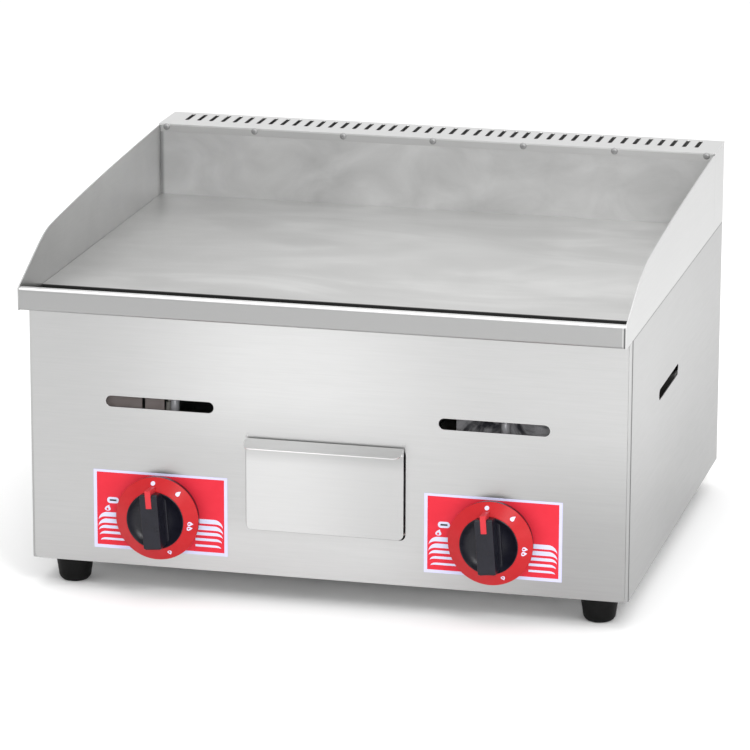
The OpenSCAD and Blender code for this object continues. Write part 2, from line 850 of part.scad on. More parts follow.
// Pointer: a coloured insert in the grip bar's upper end.
module knob_pointer(side) {
    color(knob_red) on_knob(side) lengthwise(-pointer_w / 2, pointer_w) pointer_side();
}

// Knob grip: a hollow skirt with a dish, a bar across the dish and a hub for the stem.
module knob_grip(side) {
    floor_z = skirt_top - 4;
    under = ring_t + 0.02;
    wall = 1.8;
    scoop_r = 4;
    bar_half = grip_w / 2;
    color(knob_black) on_knob(side) difference() {
        union() {
            rotate_extrude()
                polygon([
                    [0, floor_z - 2], [0, floor_z], [dish_r - 4, floor_z + 0.6],
                    [dish_r - 1.2, skirt_top + 0.5], [dish_r, skirt_top + 0.5],
                    [dish_r, skirt_top - under], [dish_r + 0.8, skirt_top - under],
                    [skirt_r, skirt_rim - under], [skirt_r, skirt_back], [skirt_r - wall, skirt_back],
                    [skirt_r - wall, skirt_rim - under - 1.4], [dish_r + 0.6, skirt_top - under - 2],
                    [dish_r - 0.6, floor_z - 2]
                ]);
            translate([0, 0, skirt_back]) cylinder(h = floor_z - skirt_back - 1, r = 7);
            lengthwise(-bar_half, grip_w)
                polygon([
                    [-19.5, floor_z - 1], [-22.6, skirt_top + 1], [-23.4, grip_reach - 2],
                    [-21.9, grip_reach], [25.8, grip_reach], [27.8, grip_reach - 2.5],
                    [26.4, skirt_top + 1.4], [24.2, skirt_top + 0.3], [21.5, floor_z - 1]
                ]);
            intersection() {
                translate([0, 0, floor_z - 1]) cylinder(h = scoop_r + 2, r = dish_r - 3);
                difference() {
                    block([-bar_half - scoop_r, -30, floor_z - 1], [bar_half + scoop_r, 30, floor_z + scoop_r]);
                    for (x = [-1, 1])
                        translate([x * (bar_half + scoop_r), -31, floor_z + scoop_r + 0.5])
                            rotate([-90, 0, 0]) cylinder(h = 62, r = scoop_r);
                }
            }
        }
        rotate(-rest_turn) difference() {
            translate([0, 0, skirt_back - 1]) cylinder(h = grip_reach - 12 - skirt_back, r = stem_r + 0.02);
            translate([-10, stem_r - flat_cut + 0.02, flat_start + 0.1]) cube([20, 10, 20]);
        }
        lengthwise(-pointer_w / 2, pointer_w) pointer_side();
    }
}

front_panel();
side_panel(LEFT);  // left_side_panel
side_panel(RIGHT);  // right_side_panel
rear_panel();
base_pan();
panel_screws();
griddle_plate();
grease_gutter();
splash_guard(LEFT);  // left_splash_guard
splash_guard(RIGHT);  // right_splash_guard
back_splash();
flue_box();
flue_cover();
flue_cover_screws();
drain_spout();
burner(LEFT);  // left_burner
burner(RIGHT);  // right_burner
air_shutter(LEFT);  // left_air_shutter
air_shutter(RIGHT);  // right_air_shutter
injector(LEFT);  // left_injector
injector(RIGHT);  // right_injector
injector_bracket(LEFT);  // left_injector_bracket
injector_bracket(RIGHT);  // right_injector_bracket
burner_rail(225);  // burner_front_rail
burner_rail(360);  // burner_rear_rail
gas_manifold();
valve_body(LEFT);  // left_valve_body
valve_body(RIGHT);  // right_valve_body
feed_tube(LEFT);  // left_feed_tube
feed_tube(RIGHT);  // right_feed_tube
gas_supply_pipe();
gas_inlet();
electrode(LEFT);  // left_electrode
electrode(RIGHT);  // right_electrode
ignition_lead(LEFT);  // left_ignition_lead
ignition_lead(RIGHT);  // right_ignition_lead
control_label(LEFT);  // left_control_label
control_label(RIGHT);  // right_control_label
foot(LEFT, foot_inset);  // foot_front_left
foot(RIGHT, foot_inset);  // foot_front_right
foot(LEFT, body_d - foot_inset);  // foot_rear_left
foot(RIGHT, body_d - foot_inset);  // foot_rear_right
foot_bolts();
foot_nuts();
tray_guide(LEFT);  // left_tray_guide
tray_guide(RIGHT);  // right_tray_guide
drip_tray_bin();
drip_tray_front();
valve_plug(LEFT);  // left_valve_plug
valve_plug(RIGHT);  // right_valve_plug
stem(LEFT);  // left_stem
stem(RIGHT);  // right_stem
return_spring(LEFT);  // left_return_spring
return_spring(RIGHT);  // right_return_spring
knob_ring(LEFT);  // left_knob_ring
knob_ring(RIGHT);  // right_knob_ring
knob_grip(LEFT);  // left_knob_grip
knob_grip(RIGHT);  // right_knob_grip
knob_pointer(LEFT);  // left_knob_pointer
knob_pointer(RIGHT);  // right_knob_pointer
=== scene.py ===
"""Looks of a two-burner countertop gas griddle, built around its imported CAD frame.

Lengths are in metres, in the frame's own axes: +X to the right as seen from the front, +Y to
the back, +Z up, with the origin on the floor under the middle of the appliance. Every place
is worked out from the CAD nodes' boxes.
"""

from __future__ import annotations

import json
import logging
import math
from dataclasses import dataclass, field
from enum import Enum
from typing import Any, Callable, Sequence

import bmesh
import bpy
from mathutils import Matrix, Vector

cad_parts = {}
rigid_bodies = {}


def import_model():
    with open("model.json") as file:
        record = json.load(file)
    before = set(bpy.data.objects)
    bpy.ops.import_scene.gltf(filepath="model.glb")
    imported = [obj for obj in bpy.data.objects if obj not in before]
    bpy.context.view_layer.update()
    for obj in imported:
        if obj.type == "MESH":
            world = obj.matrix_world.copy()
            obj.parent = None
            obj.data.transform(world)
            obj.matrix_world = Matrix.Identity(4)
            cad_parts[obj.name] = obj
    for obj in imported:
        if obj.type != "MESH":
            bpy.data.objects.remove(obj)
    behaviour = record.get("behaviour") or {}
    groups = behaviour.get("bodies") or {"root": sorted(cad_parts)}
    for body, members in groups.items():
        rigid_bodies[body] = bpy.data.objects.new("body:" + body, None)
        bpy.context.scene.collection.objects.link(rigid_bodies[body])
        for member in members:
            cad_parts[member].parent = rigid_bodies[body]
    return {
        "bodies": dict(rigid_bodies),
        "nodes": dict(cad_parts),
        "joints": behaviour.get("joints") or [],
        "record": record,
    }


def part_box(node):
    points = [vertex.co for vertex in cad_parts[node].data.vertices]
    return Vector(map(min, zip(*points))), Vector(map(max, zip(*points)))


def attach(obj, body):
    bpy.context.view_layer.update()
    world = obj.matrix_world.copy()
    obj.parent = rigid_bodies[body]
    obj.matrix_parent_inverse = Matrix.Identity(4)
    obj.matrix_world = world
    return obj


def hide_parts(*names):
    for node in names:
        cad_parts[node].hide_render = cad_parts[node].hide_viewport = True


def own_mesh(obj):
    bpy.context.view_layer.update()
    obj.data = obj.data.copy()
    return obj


LOG = logging.getLogger("griddle")
MM = 0.001
X, Y, Z = range(3)
Point = Sequence[float]
# A gain and the zone where it paints light or shade into a colour.
Shade = tuple[float, tuple[tuple[int, float, float], ...]]


class Side(Enum):
    """Which half of the appliance a repeated part belongs to."""

    LEFT = "left"
    RIGHT = "right"


class Grain(Enum):
    """Direction in which a sheet's brushed grain runs."""

    ALONG_X = X
    ALONG_Y = Y


# ---------------------------------------------------------------------------
# Shader graphs
# ---------------------------------------------------------------------------


class Wire:
    """An output socket that takes part in Python arithmetic as a number."""

    def __init__(self, graph: Graph, socket: bpy.types.NodeSocket) -> None:
        """Wraps one socket of one graph."""
        self.graph = graph
        self.socket = socket

    def maths(self, operation: str, *values: Wire | float) -> Wire:
        """Adds a Math node.

        Args:
            operation: the Math node's operation.
            values: its inputs, in order.

        Returns:
            The node's output.
        """
        return self.graph.node("ShaderNodeMath", {"operation": operation}, dict(enumerate(values)))

    def __add__(self, other: Wire | float) -> Wire:
        """self + other"""
        return self.maths("ADD", self, other)

    def __radd__(self, other: float) -> Wire:
        """other + self"""
        return self.maths("ADD", other, self)

    def __sub__(self, other: Wire | float) -> Wire:
        """self - other"""
        return self.maths("SUBTRACT", self, other)

    def __rsub__(self, other: float) -> Wire:
        """other - self"""
        return self.maths("SUBTRACT", other, self)

    def __mul__(self, other: Wire | float) -> Wire:
        """self * other"""
        return self.maths("MULTIPLY", self, other)

    def __rmul__(self, other: float) -> Wire:
        """other * self"""
        return self.maths("MULTIPLY", other, self)

    def between(self, low: float, high: float) -> Wire:
        """0 up to low, 1 from high, and a smooth step between them.

        Args:
            low: the value at which the step starts.
            high: the value at which it is complete.

        Returns:
            The stepped value.
        """
        settings = {"interpolation_type": "SMOOTHSTEP"}
        return self.graph.node("ShaderNodeMapRange", settings, {0: self, 1: low, 2: high})


class Graph:
    """A new material's node tree."""

    def __init__(self, name: str) -> None:
        """Starts an empty material.

        Args:
            name: the material's name.
        """
        self.material = bpy.data.materials.new(name)
        self.material.use_nodes = True
        self.tree = self.material.node_tree
        self.tree.nodes.clear()

    def node(
        self,
        kind: str,
        settings: dict[str, Any] | None = None,
        inputs: dict[str | int, Any] | None = None,
        output: str | int = 0,
    ) -> Wire:
        """Adds any node.

        Args:
            kind: the node's type.
            settings: its properties, which are set first.
            inputs: a value or a Wire for each socket, by name or number.
            output: the output socket to hand back.

        Returns:
            The chosen output.
        """
        made = self.tree.nodes.new(kind)
        for key, value in (settings or {}).items():
            setattr(made, key, value)
        for key, value in (inputs or {}).items():
            if isinstance(value, Wire):
                self.tree.links.new(value.socket, made.inputs[key])
            else:
                made.inputs[key].default_value = value
        return Wire(self, made.outputs[output])

    def here(self) -> Wire:
        """The Object coordinates."""
        return self.node("ShaderNodeTexCoord", output="Object")

    def noise(self, scale: Point, detail: float = 3.0, rough: float = 0.5, twist: float = 0.0) -> Wire:
        """Noise from 0 to 1 on Object coordinates.

        Args:
            scale: repeats per metre along each axis.
            detail: number of octaves.
            rough: weight of the fine octaves.
            twist: distortion of the pattern.

        Returns:
            The noise value.
        """
        mapping = {"Vector": self.here(), "Scale": scale}
        stretched = self.node("ShaderNodeMapping", {"vector_type": "POINT"}, mapping)
        inputs = {
            "Vector": stretched,
            "Scale": 1.0,
            "Detail": detail,
            "Roughness": rough,
            "Distortion": twist,
        }
        return self.node("ShaderNodeTexNoise", {"noise_dimensions": "3D"}, inputs)

    def along(self, axis: int, start: float, end: float) -> Wire:
        """A smooth step over the piece's own coordinates.

        Args:
            axis: X, Y or Z.
            start: the place, in metres, up to which the value is 0.
            end: the place from which it is 1; it may lie before the start.

        Returns:
            The stepped value.
        """
        return self.node("ShaderNodeSeparateXYZ", None, {0: self.here()}, axis).between(start, end)

    def shaded(self, colour: Wire, shades: Sequence[Shade]) -> Wire:
        """Paints light and shade into a colour: lightens or darkens it in given zones.

        Args:
            colour: the colour.
            shades: pairs of a gain and the steps whose product says where the painted light or shade applies.

        Returns:
            The shaded colour.
        """
        for gain, steps in shades:
            zone: Wire | float = gain
            for axis, start, end in steps:
                zone = self.along(axis, start, end) * zone
            inputs = {0: colour, "Scale": zone + 1.0}
            colour = self.node("ShaderNodeVectorMath", {"operation": "SCALE"}, inputs)
        return colour

    def mix(self, factor: Wire | float, first: Point | Wire, second: Point | Wire) -> Wire:
        """Mixes two colours.

        Args:
            factor: 0 for the first and 1 for the second.
            first: a colour.
            second: a colour.

        Returns:
            The mixed colour.
        """
        first_colour = first if isinstance(first, Wire) else (*first, 1.0)
        second_colour = second if isinstance(second, Wire) else (*second, 1.0)
        inputs = {0: factor, 6: first_colour, 7: second_colour}
        return self.node("ShaderNodeMix", {"data_type": "RGBA"}, inputs, 2)

    def bump(self, height: Wire, strength: float, depth: float) -> Wire:
        """Bumps the surface.

        Args:
            height: the height pattern.
            strength: how much of the bump shows.
            depth: the height of a full step, in metres.

        Returns:
            The bumped normal.
        """
        inputs = {"Height": height, "Strength": strength, "Distance": depth}
        return self.node("ShaderNodeBump", None, inputs)

    def surface(self, inputs: dict[str, Any]) -> bpy.types.Material:
        """Closes the graph with one Principled shader.

        Args:
            inputs: the shader's values and links by socket name.

        Returns:
            The finished material.
        """
        shader = self.node("ShaderNodeBsdfPrincipled", None, inputs)
        end = self.tree.nodes.new("ShaderNodeOutputMaterial")
        self.tree.links.new(shader.socket, end.inputs["Surface"])
        return self.material


# ---------------------------------------------------------------------------
# Finishes
# ---------------------------------------------------------------------------


@dataclass(frozen=True)
class BrushedSheet:
    """Stainless sheet with a fine one-way grain, faint clouds and handling marks, and zones of painted light
    and shade.
    """

    name: str
    tone: float
    grain: Grain
    roughness: float
    streaks: float
    clouds: float
    shades: tuple[Shade, ...] = ()
    patch: float = 5.0

    def material(self) -> bpy.types.Material:
        """Builds the material."""
        graph = Graph(self.name)
        fine = [1500.0, 1500.0, 1500.0]
        fine[self.grain.value] = 14.0
        broad = [420.0, 420.0, 420.0]
        broad[self.grain.value] = 34.0
        hairlines = graph.noise(fine, detail=2.0, rough=0.7)
        bands = graph.noise(broad, detail=2.0)
        patches = (self.patch, self.patch, self.patch * 1.4)
        cloud = graph.noise(patches, detail=4.0, rough=0.55, twist=0.6)
        grain = hairlines * 0.65 + bands * 0.35
        shade = grain * self.streaks + cloud * self.clouds + (0.5 - self.streaks / 2 - self.clouds / 2)
        dark = tuple(self.tone * part for part in (0.62, 0.622, 0.62))
        light = tuple(min(1.0, self.tone * part) for part in (1.38, 1.38, 1.375))
        # The shades paint light and shade into the base colour.
        return graph.surface({
            "Base Color": graph.shaded(graph.mix(shade, dark, light), self.shades),
            "Metallic": 1.0,
            "Roughness": self.roughness + (grain - 0.5) * 0.16 + (cloud - 0.5) * 0.10,
            "Normal": graph.bump(grain, 0.10, 0.02 * MM),
        })


@dataclass(frozen=True)
class GroundPlate:
    """Ground cooking plate with a cloudy oil film, faint wiping marks and a dark cut edge that is partly
    painted shade, with other zones of painted shade.
    """

    name: str
    tone: float
    shades: tuple[Shade, ...]

    def material(self) -> bpy.types.Material:
        """Builds the material."""
        graph = Graph(self.name)
        cloud = graph.noise((6.0, 8.0, 8.0), detail=5.0, rough=0.55, twist=1.2)
        smear = graph.noise((4.0, 9.0, 9.0), detail=3.0, twist=2.6).between(0.35, 0.75)
        ground = graph.noise((30.0, 700.0, 700.0), detail=2.0, rough=0.6)
        fine = graph.noise((900.0, 900.0, 900.0), detail=2.0, rough=0.6)
        film = cloud * 0.6 + smear * 0.25 + ground * 0.05 + fine * 0.10
        dark = tuple(self.tone * part for part in (0.88, 0.88, 0.87))
        light = tuple(min(1.0, self.tone * part) for part in (1.10, 1.10, 1.09))
        # The shades paint shade into the base colour, the dark cut edge among them.
        return graph.surface({
            "Base Color": graph.shaded(graph.mix(film.between(0.2, 0.8), dark, light), self.shades),
            "Metallic": 1.0,
            "Roughness": 0.36 + film * 0.16,
            "Normal": graph.bump(ground * 0.5 + fine * 0.5, 0.06, 0.02 * MM),
        })


@dataclass(frozen=True)
class DullMetal:
    """Plated, cast or heat-marked metal with an even mottled skin; two copies paint the shade on the burner
    rails and a swirled reflection on the right injector bracket.
    """

    name: str
    colour: tuple[float, float, float]
    stain_and_painted_light: tuple[float, float, float]
    stain_and_painted_light_share: float
    roughness: float
    cell: float
    metallic: float = 1.0

    def material(self) -> bpy.types.Material:
        """Builds the material."""
        graph = Graph(self.name)
        blotch = graph.noise((self.cell / 5,) * 3, detail=4.0, rough=0.6, twist=0.8)
        speck = graph.noise((self.cell * 14,) * 3, detail=2.0, rough=0.6)
        share = blotch.between(0.35, 0.75) * self.stain_and_painted_light_share + (speck - 0.5) * 0.2
        # For the rail and bracket copies this mottled mix is painted shade and a painted swirled reflection.
        return graph.surface({
            "Base Color": graph.mix(share.between(0.0, 1.0), self.colour, self.stain_and_painted_light),
            "Metallic": self.metallic,
            "Roughness": self.roughness + (blotch - 0.5) * 0.18 + (speck - 0.5) * 0.12,
            "Normal": graph.bump(speck, 0.12, 0.03 * MM),
        })


@dataclass(frozen=True)
class MouldedPlastic:
    """Moulded plastic or rubber with a fine spark-eroded skin."""

    name: str
    colour: tuple[float, float, float]
    worn: tuple[float, float, float]
    roughness: float
    skin: float
    relief: float = 0.25
    shine: float = 0.2

    def material(self) -> bpy.types.Material:
        """Builds the material."""
        graph = Graph(self.name)
        skin = graph.noise((self.skin,) * 3, detail=3.0, rough=0.6)
        dust = graph.noise((55.0, 55.0, 80.0), detail=4.0, rough=0.6, twist=0.5)
        wear = dust.between(0.35, 0.8) * 0.6 + (skin - 0.5) * 0.3
        return graph.surface({
            "Base Color": graph.mix(wear, self.colour, self.worn),
            "Metallic": 0.0,
            "Roughness": self.roughness + (skin - 0.5) * 0.2 + (dust - 0.5) * 0.12,
            "Specular IOR Level": self.shine,
            "Normal": graph.bump(skin, self.relief, 0.04 * MM),
        })


@dataclass(frozen=True)
class Glaze:
    """White ceramic with a clear glaze."""

    name: str
    colour: tuple[float, float, float]
    tint: tuple[float, float, float]

    def material(self) -> bpy.types.Material:
        """Builds the material."""
        graph = Graph(self.name)
        cloud = graph.noise((120.0,) * 3, detail=3.0)
        ripple = graph.noise((300.0,) * 3, detail=1.0)
        return graph.surface({
            "Base Color": graph.mix(cloud.between(0.4, 0.8), self.colour, self.tint),
            "Roughness": 0.16 + ripple * 0.14,
            "Coat Weight": 0.5,
            "Normal": graph.bump(ripple, 0.06, 0.05 * MM),
        })


def front_painted_light() -> tuple[Shade, ...]:
    """Front panel painted light and shade: a painted sheen makes it brighter in the middle above and below
    the tray, with painted shade at the lower right and slightly to the left.
    """
    return (
        (0.22, ((X, -0.25, -0.06), (X, 0.15, -0.02), (Z, 0.13, 0.20))),
        (-0.28, ((X, 0.07, 0.23), (Z, 0.20, 0.07))),
        (-0.07, ((X, -0.05, -0.20),)),
        (0.13, ((X, -0.22, -0.10), (X, 0.12, 0.02), (Z, 0.088, 0.055))),
    )


def tray_painted_light() -> tuple[Shade, ...]:
    """Tray front painted light and shade: painted shade to the right, a painted shadow under its flange and a
    painted highlight on the flange.
    """
    return (
        (-0.18, ((X, -0.04, 0.07),)),
        (-0.19, ((Z, 0.131, 0.146),)),
        (0.90, ((Z, 0.1472, 0.1482),)),
    )


def side_painted_shade() -> tuple[Shade, ...]:
    """Side panels painted shade: darker towards the floor and the rear, with painted shade lines in the gaps
    at the two seams.
    """
    _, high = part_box("right_side_panel")
    front_low, front_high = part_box("front_panel")
    seam = front_low.y + high.x - front_high.x
    return (
        (-0.26, ((Z, 0.25, 0.05),)),
        (-0.08, ((Y, -0.20, 0.20),)),
        (-0.72, ((Y, seam - 0.5 * MM, seam), (Y, seam + 2.1 * MM, seam + 1.6 * MM))),
        (-0.55, ((Z, high.z - 1.1 * MM, high.z - 0.7 * MM),)),
    )


def gutter_painted_light() -> tuple[Shade, ...]:
    """Grease gutter painted light and shade: a painted highlight on the top fold, painted shadow in the
    channel, and at its end a painted highlight line and a painted shade line in the gap.
    """
    low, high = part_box("grease_gutter")
    face = (Z, high.z - 1.2 * MM, high.z - 2.4 * MM)
    return (
        (1.25, ((Z, high.z - 2.4 * MM, high.z - 1.2 * MM),)),
        (-0.72, ((Y, low.y + 8 * MM, low.y + 10 * MM),)),
        (0.45, ((X, high.x - 2.9 * MM, high.x - 2.4 * MM), (X, high.x - 1.4 * MM, high.x - 1.8 * MM), face)),
        (-0.60, ((X, high.x - 1.5 * MM, high.x - 1.1 * MM), face)),
    )


def splash_painted_light() -> tuple[Shade, ...]:
    """Back splash painted light and shade: a painted shade line in its left corner, painted shade at both
    ends and painted light low on its left end.
    """
    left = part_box("back_splash")[0].x
    return (
        (-0.45, ((X, left + 4.5 * MM, left + 1.5 * MM),)),
        (-0.16, ((X, 0.12, 0.26),)),
        (-0.10, ((X, -0.17, -0.262),)),
        (0.12, ((X, -0.235, -0.262), (Z, 0.31, 0.26))),
    )


def cover_painted_shade() -> tuple[Shade, ...]:
    """Flue cover: painted shade on its front flange."""
    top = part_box("flue_cover")[1].z
    return ((-0.22, ((Z, top - 1.2 * MM, top - 1.8 * MM),)),)


def plate_painted_shade() -> tuple[Shade, ...]:
    """Griddle plate: a dark cut edge at the gutter, partly the steel's own darker cut face and partly painted
    shade of the channel, and painted shade towards the left and its rear corner.
    """
    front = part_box("griddle_plate")[0].y
    return (
        (-0.86, ((Y, front + 1.2 * MM, front + 0.5 * MM),)),
        (-0.20, ((X, 0.05, -0.26),)),
        (-0.12, ((X, -0.16, -0.262), (Y, 0.04, 0.17))),
    )


class Paints:
    """The materials of the whole appliance, one for each finish."""

    def __init__(self) -> None:
        """Builds every finish once."""
        finishes = (
            BrushedSheet("brushed_front", 0.472, Grain.ALONG_X, 0.34, 0.24, 0.08, front_painted_light()),
            BrushedSheet("brushed_tray", 0.575, Grain.ALONG_X, 0.32, 0.16, 0.10, tray_painted_light()),
            BrushedSheet("satin_side", 0.46, Grain.ALONG_Y, 0.36, 0.05, 0.06, side_painted_shade()),
            BrushedSheet("satin_top", 0.565, Grain.ALONG_X, 0.32, 0.06, 0.75, splash_painted_light(), 18.0),
            # The lip's darker tone is painted shade; its zones add painted highlights and shadow.
            BrushedSheet("lip_painted_light", 0.34, Grain.ALONG_X, 0.34, 0.06, 0.08, gutter_painted_light()),
            BrushedSheet("satin_cover", 0.66, Grain.ALONG_X, 0.34, 0.05, 0.06, cover_painted_shade()),
            # The splash guards are one sheet in two tones: a darker copy as painted shade and a lighter copy
            # as painted light, which the flue box shares.
            BrushedSheet("guard_painted_shade", 0.44, Grain.ALONG_Y, 0.34, 0.05, 0.45, patch=14.0),
            BrushedSheet("guard_painted_light", 0.565, Grain.ALONG_Y, 0.34, 0.05, 0.05),
            BrushedSheet("mill_sheet", 0.50, Grain.ALONG_Y, 0.42, 0.05, 0.14),
            GroundPlate("ground_plate", 0.62, plate_painted_shade()),
            DullMetal("bright_screw", (0.36, 0.36, 0.36), (0.28, 0.28, 0.28), 0.3, 0.62, 200.0),
            DullMetal("heat_tinted_steel", (0.66, 0.64, 0.62), (0.40, 0.33, 0.29), 0.5, 0.32, 60.0, 0.6),
            DullMetal("galvanised_sheet", (0.90, 0.78, 0.76), (0.70, 0.59, 0.57), 0.5, 0.50, 120.0, 0.1),
            # Near-black sheet: painted shade inside the body on the burner rails.
            DullMetal("rail_painted_shade", (0.035, 0.033, 0.032), (0.07, 0.06, 0.055), 0.5, 0.60, 120.0, 0.2),
            # Bright sheet with dark swirls: a painted reflection on the right injector bracket.
            DullMetal("bracket_painted_reflection", (0.97, 0.96, 1.0), (0.08, 0.08, 0.10), 1.3, 0.30, 190.0, 0.15),
            DullMetal("aluminium_tube", (0.90, 0.90, 0.94), (0.72, 0.72, 0.75), 0.3, 0.36, 140.0, 0.15),
            DullMetal("zinc_pipe", (0.58, 0.58, 0.56), (0.42, 0.41, 0.38), 0.5, 0.40, 80.0),
            DullMetal("machined_brass", (0.80, 0.60, 0.28), (0.55, 0.37, 0.16), 0.4, 0.28, 110.0),
            DullMetal("bright_stem", (0.68, 0.68, 0.68), (0.50, 0.50, 0.49), 0.3, 0.22, 160.0),
            MouldedPlastic("silicone_sleeve", (0.03, 0.03, 0.03), (0.07, 0.07, 0.07), 0.55, 1800.0),
            MouldedPlastic("foot_rubber", (0.004, 0.004, 0.004), (0.01, 0.01, 0.01), 0.55, 1600.0, 0.3, 0.1),
            MouldedPlastic(
                "grip_phenolic", (0.005, 0.005, 0.01), (0.011, 0.011, 0.019), 0.3, 2200.0, 0.12, 0.32
            ),
            MouldedPlastic("skirt_red", (0.43, 0.008, 0.012), (0.48, 0.014, 0.020), 0.34, 2600.0, 0.10, 0.25),
            MouldedPlastic("pointer_red", (0.53, 0.03, 0.04), (0.57, 0.038, 0.05), 0.38, 2600.0, 0.10, 0.2),
            MouldedPlastic("label_red", (0.62, 0.026, 0.044), (0.66, 0.032, 0.054), 0.45, 900.0, 0.03, 0.1),
            MouldedPlastic("label_white", (0.56, 0.56, 0.76), (0.60, 0.60, 0.80), 0.45, 900.0, 0.03, 0.1),
            MouldedPlastic("print_white", (0.60, 0.60, 0.76), (0.64, 0.64, 0.80), 0.45, 900.0, 0.03, 0.1),
            MouldedPlastic("electrode_cap", (0.02, 0.02, 0.02), (0.05, 0.05, 0.05), 0.5, 1500.0),
            Glaze("white_glaze", (0.86, 0.85, 0.80), (0.78, 0.76, 0.70)),
        )
        self.materials = {finish.name: finish.material() for finish in finishes}

    def __getitem__(self, name: str) -> bpy.types.Material:
        """The material of that finish."""
        return self.materials[name]


# ---------------------------------------------------------------------------
# Modelling by hand
# ---------------------------------------------------------------------------


def deselect() -> None:
    """Leaves nothing selected and nothing active."""
    for item in bpy.context.selected_objects:
        item.select_set(False)
    bpy.context.view_layer.objects.active = None


def take(*items: bpy.types.Object) -> bpy.types.Object:
    """Selects objects and makes the first one active.

    Args:
        items: the objects.

    Returns:
        The first one.
    """
    deselect()
    for item in items:
        item.select_set(True)
    bpy.context.view_layer.objects.active = items[0]
    return items[0]


def settle(item: bpy.types.Object, name: str) -> bpy.types.Object:
    """Puts an object's place into its mesh and names it.

    Args:
        item: the object.
        name: its new name.

    Returns:
        The object, at the origin, unturned and unscaled.
    """
    take(item)
    bpy.ops.object.transform_apply(location=True, rotation=True, scale=True)
    item.name = name
    item.data.name = name
    return item


def block(name: str, low: Point, high: Point) -> bpy.types.Object:
    """Adds a cube at its size and place.

    Args:
        name: the piece's name.
        low: its lowest corner.
        high: its highest corner.

    Returns:
        The piece.
    """
    deselect()
    low_corner, high_corner = Vector(low), Vector(high)
    bpy.ops.mesh.primitive_cube_add(size=1.0, location=(low_corner + high_corner) / 2)
    bpy.context.object.scale = high_corner - low_corner
    return settle(bpy.context.object, name)


def pick(item: bpy.types.Object, kind: str, test: Callable[[Any], bool]) -> None:
    """In edit mode, selects the edges or verts that pass a test.

    Args:
        item: the object in edit mode.
        kind: "edges" or "verts".
        test: says whether an element is wanted.
    """
    modes = {"verts": (True, False, False), "edges": (False, True, False)}
    bpy.context.tool_settings.mesh_select_mode = modes[kind]
    bpy.ops.mesh.select_all(action="DESELECT")
    work = bmesh.from_edit_mesh(item.data)
    for element in getattr(work, kind):
        if test(element):
            element.select_set(True)
    work.select_flush(True)
    bmesh.update_edit_mesh(item.data)


def drawn(name: str, points: Sequence[Point], closed: bool = False) -> bpy.types.Object:
    """Draws a line by pulling one vertex from point to point; leaves it in edit mode.

    Args:
        name: the piece's name.
        points: the places on the line.
        closed: whether the line returns to its start.

    Returns:
        The piece.
    """
    deselect()
    bpy.ops.mesh.primitive_plane_add(size=MM, location=points[0])
    item = settle(bpy.context.object, name)
    bpy.context.tool_settings.mesh_select_mode = (True, False, False)
    bpy.ops.object.mode_set(mode="EDIT")
    bpy.ops.mesh.select_all(action="SELECT")
    bpy.ops.mesh.merge(type="CENTER")
    route = [Vector(point) for point in points]
    if closed:
        route.append(route[0])
    for start, end in zip(route, route[1:]):
        bpy.ops.mesh.extrude_vertices_move(TRANSFORM_OT_translate={"value": end - start})
    bpy.ops.mesh.select_all(action="SELECT")
    bpy.ops.mesh.remove_doubles(threshold=0.0005 * MM)
    return item


def cut_out(name: str, points: Sequence[Point], thickness: Point) -> bpy.types.Object:
    """Makes a plate from an outline.

    Args:
        name: the piece's name.
        points: the outline's corners, in order.
        thickness: how far and which way the outline is pulled.

    Returns:
        The piece.
    """
    item = drawn(name, points, closed=True)
    bpy.ops.mesh.select_all(action="SELECT")
    bpy.ops.mesh.edge_face_add()
    bpy.ops.mesh.extrude_region_move(TRANSFORM_OT_translate={"value": Vector(thickness)})
    bpy.ops.mesh.select_all(action="SELECT")
    bpy.ops.mesh.normals_make_consistent(inside=False)
    bpy.ops.object.mode_set(mode="OBJECT")
    return item


def turned(
    name: str, profile: Sequence[tuple[float, float]], axis: Point, centre: Point, steps: int
) -> bpy.types.Object:
    """Spins a profile round an axis, as on a lathe.

    Args:
        name: the piece's name.
        profile: closed outline as (radius, distance along the axis) pairs, open at the axis.
        axis: unit vector along the axis.
        centre: point from which the distances are counted.
        steps: number of steps in a full turn.

    Returns:
        The piece.
    """
    along, middle = Vector(axis), Vector(centre)
    out = along.orthogonal().normalized()
    touches = any(radius == 0 for radius, _ in profile)
    item = drawn(name, [middle + out * r + along * d for r, d in profile], closed=not touches)
    bpy.ops.mesh.select_all(action="SELECT")
    bpy.ops.mesh.spin(steps=steps, angle=2 * math.pi, center=middle, axis=along)
    bpy.ops.mesh.select_all(action="SELECT")
    bpy.ops.mesh.remove_doubles(threshold=0.002 * MM)
    bpy.ops.mesh.normals_make_consistent(inside=False)
    bpy.ops.object.mode_set(mode="OBJECT")
    return item


def turn(item: bpy.types.Object, angle: float, axis: str, centre: Point) -> bpy.types.Object:
    """Turns a piece's mesh about a point.

    Args:
        item: the piece.
        angle: angle in radians, counted by the right-hand rule.
        axis: "X", "Y" or "Z".
        centre: the point that stays.

    Returns:
        The piece.
    """
    take(item)
    bpy.ops.object.mode_set(mode="EDIT")
    bpy.ops.mesh.select_all(action="SELECT")
    bpy.ops.transform.rotate(value=-angle, orient_axis=axis, center_override=tuple(centre))
    bpy.ops.object.mode_set(mode="OBJECT")
    return item


def finished(item: bpy.types.Object, kind: str, **settings: Any) -> bpy.types.Object:
    """Adds a modifier and applies it.

    Args:
        item: the piece.
        kind: the modifier's type.
        settings: its properties.

    Returns:
        The piece.
    """
    take(item)
    modifier = item.modifiers.new(kind.lower(), kind)
    for key, value in settings.items():
        setattr(modifier, key, value)
    bpy.ops.object.modifier_apply(modifier=modifier.name)
    return item


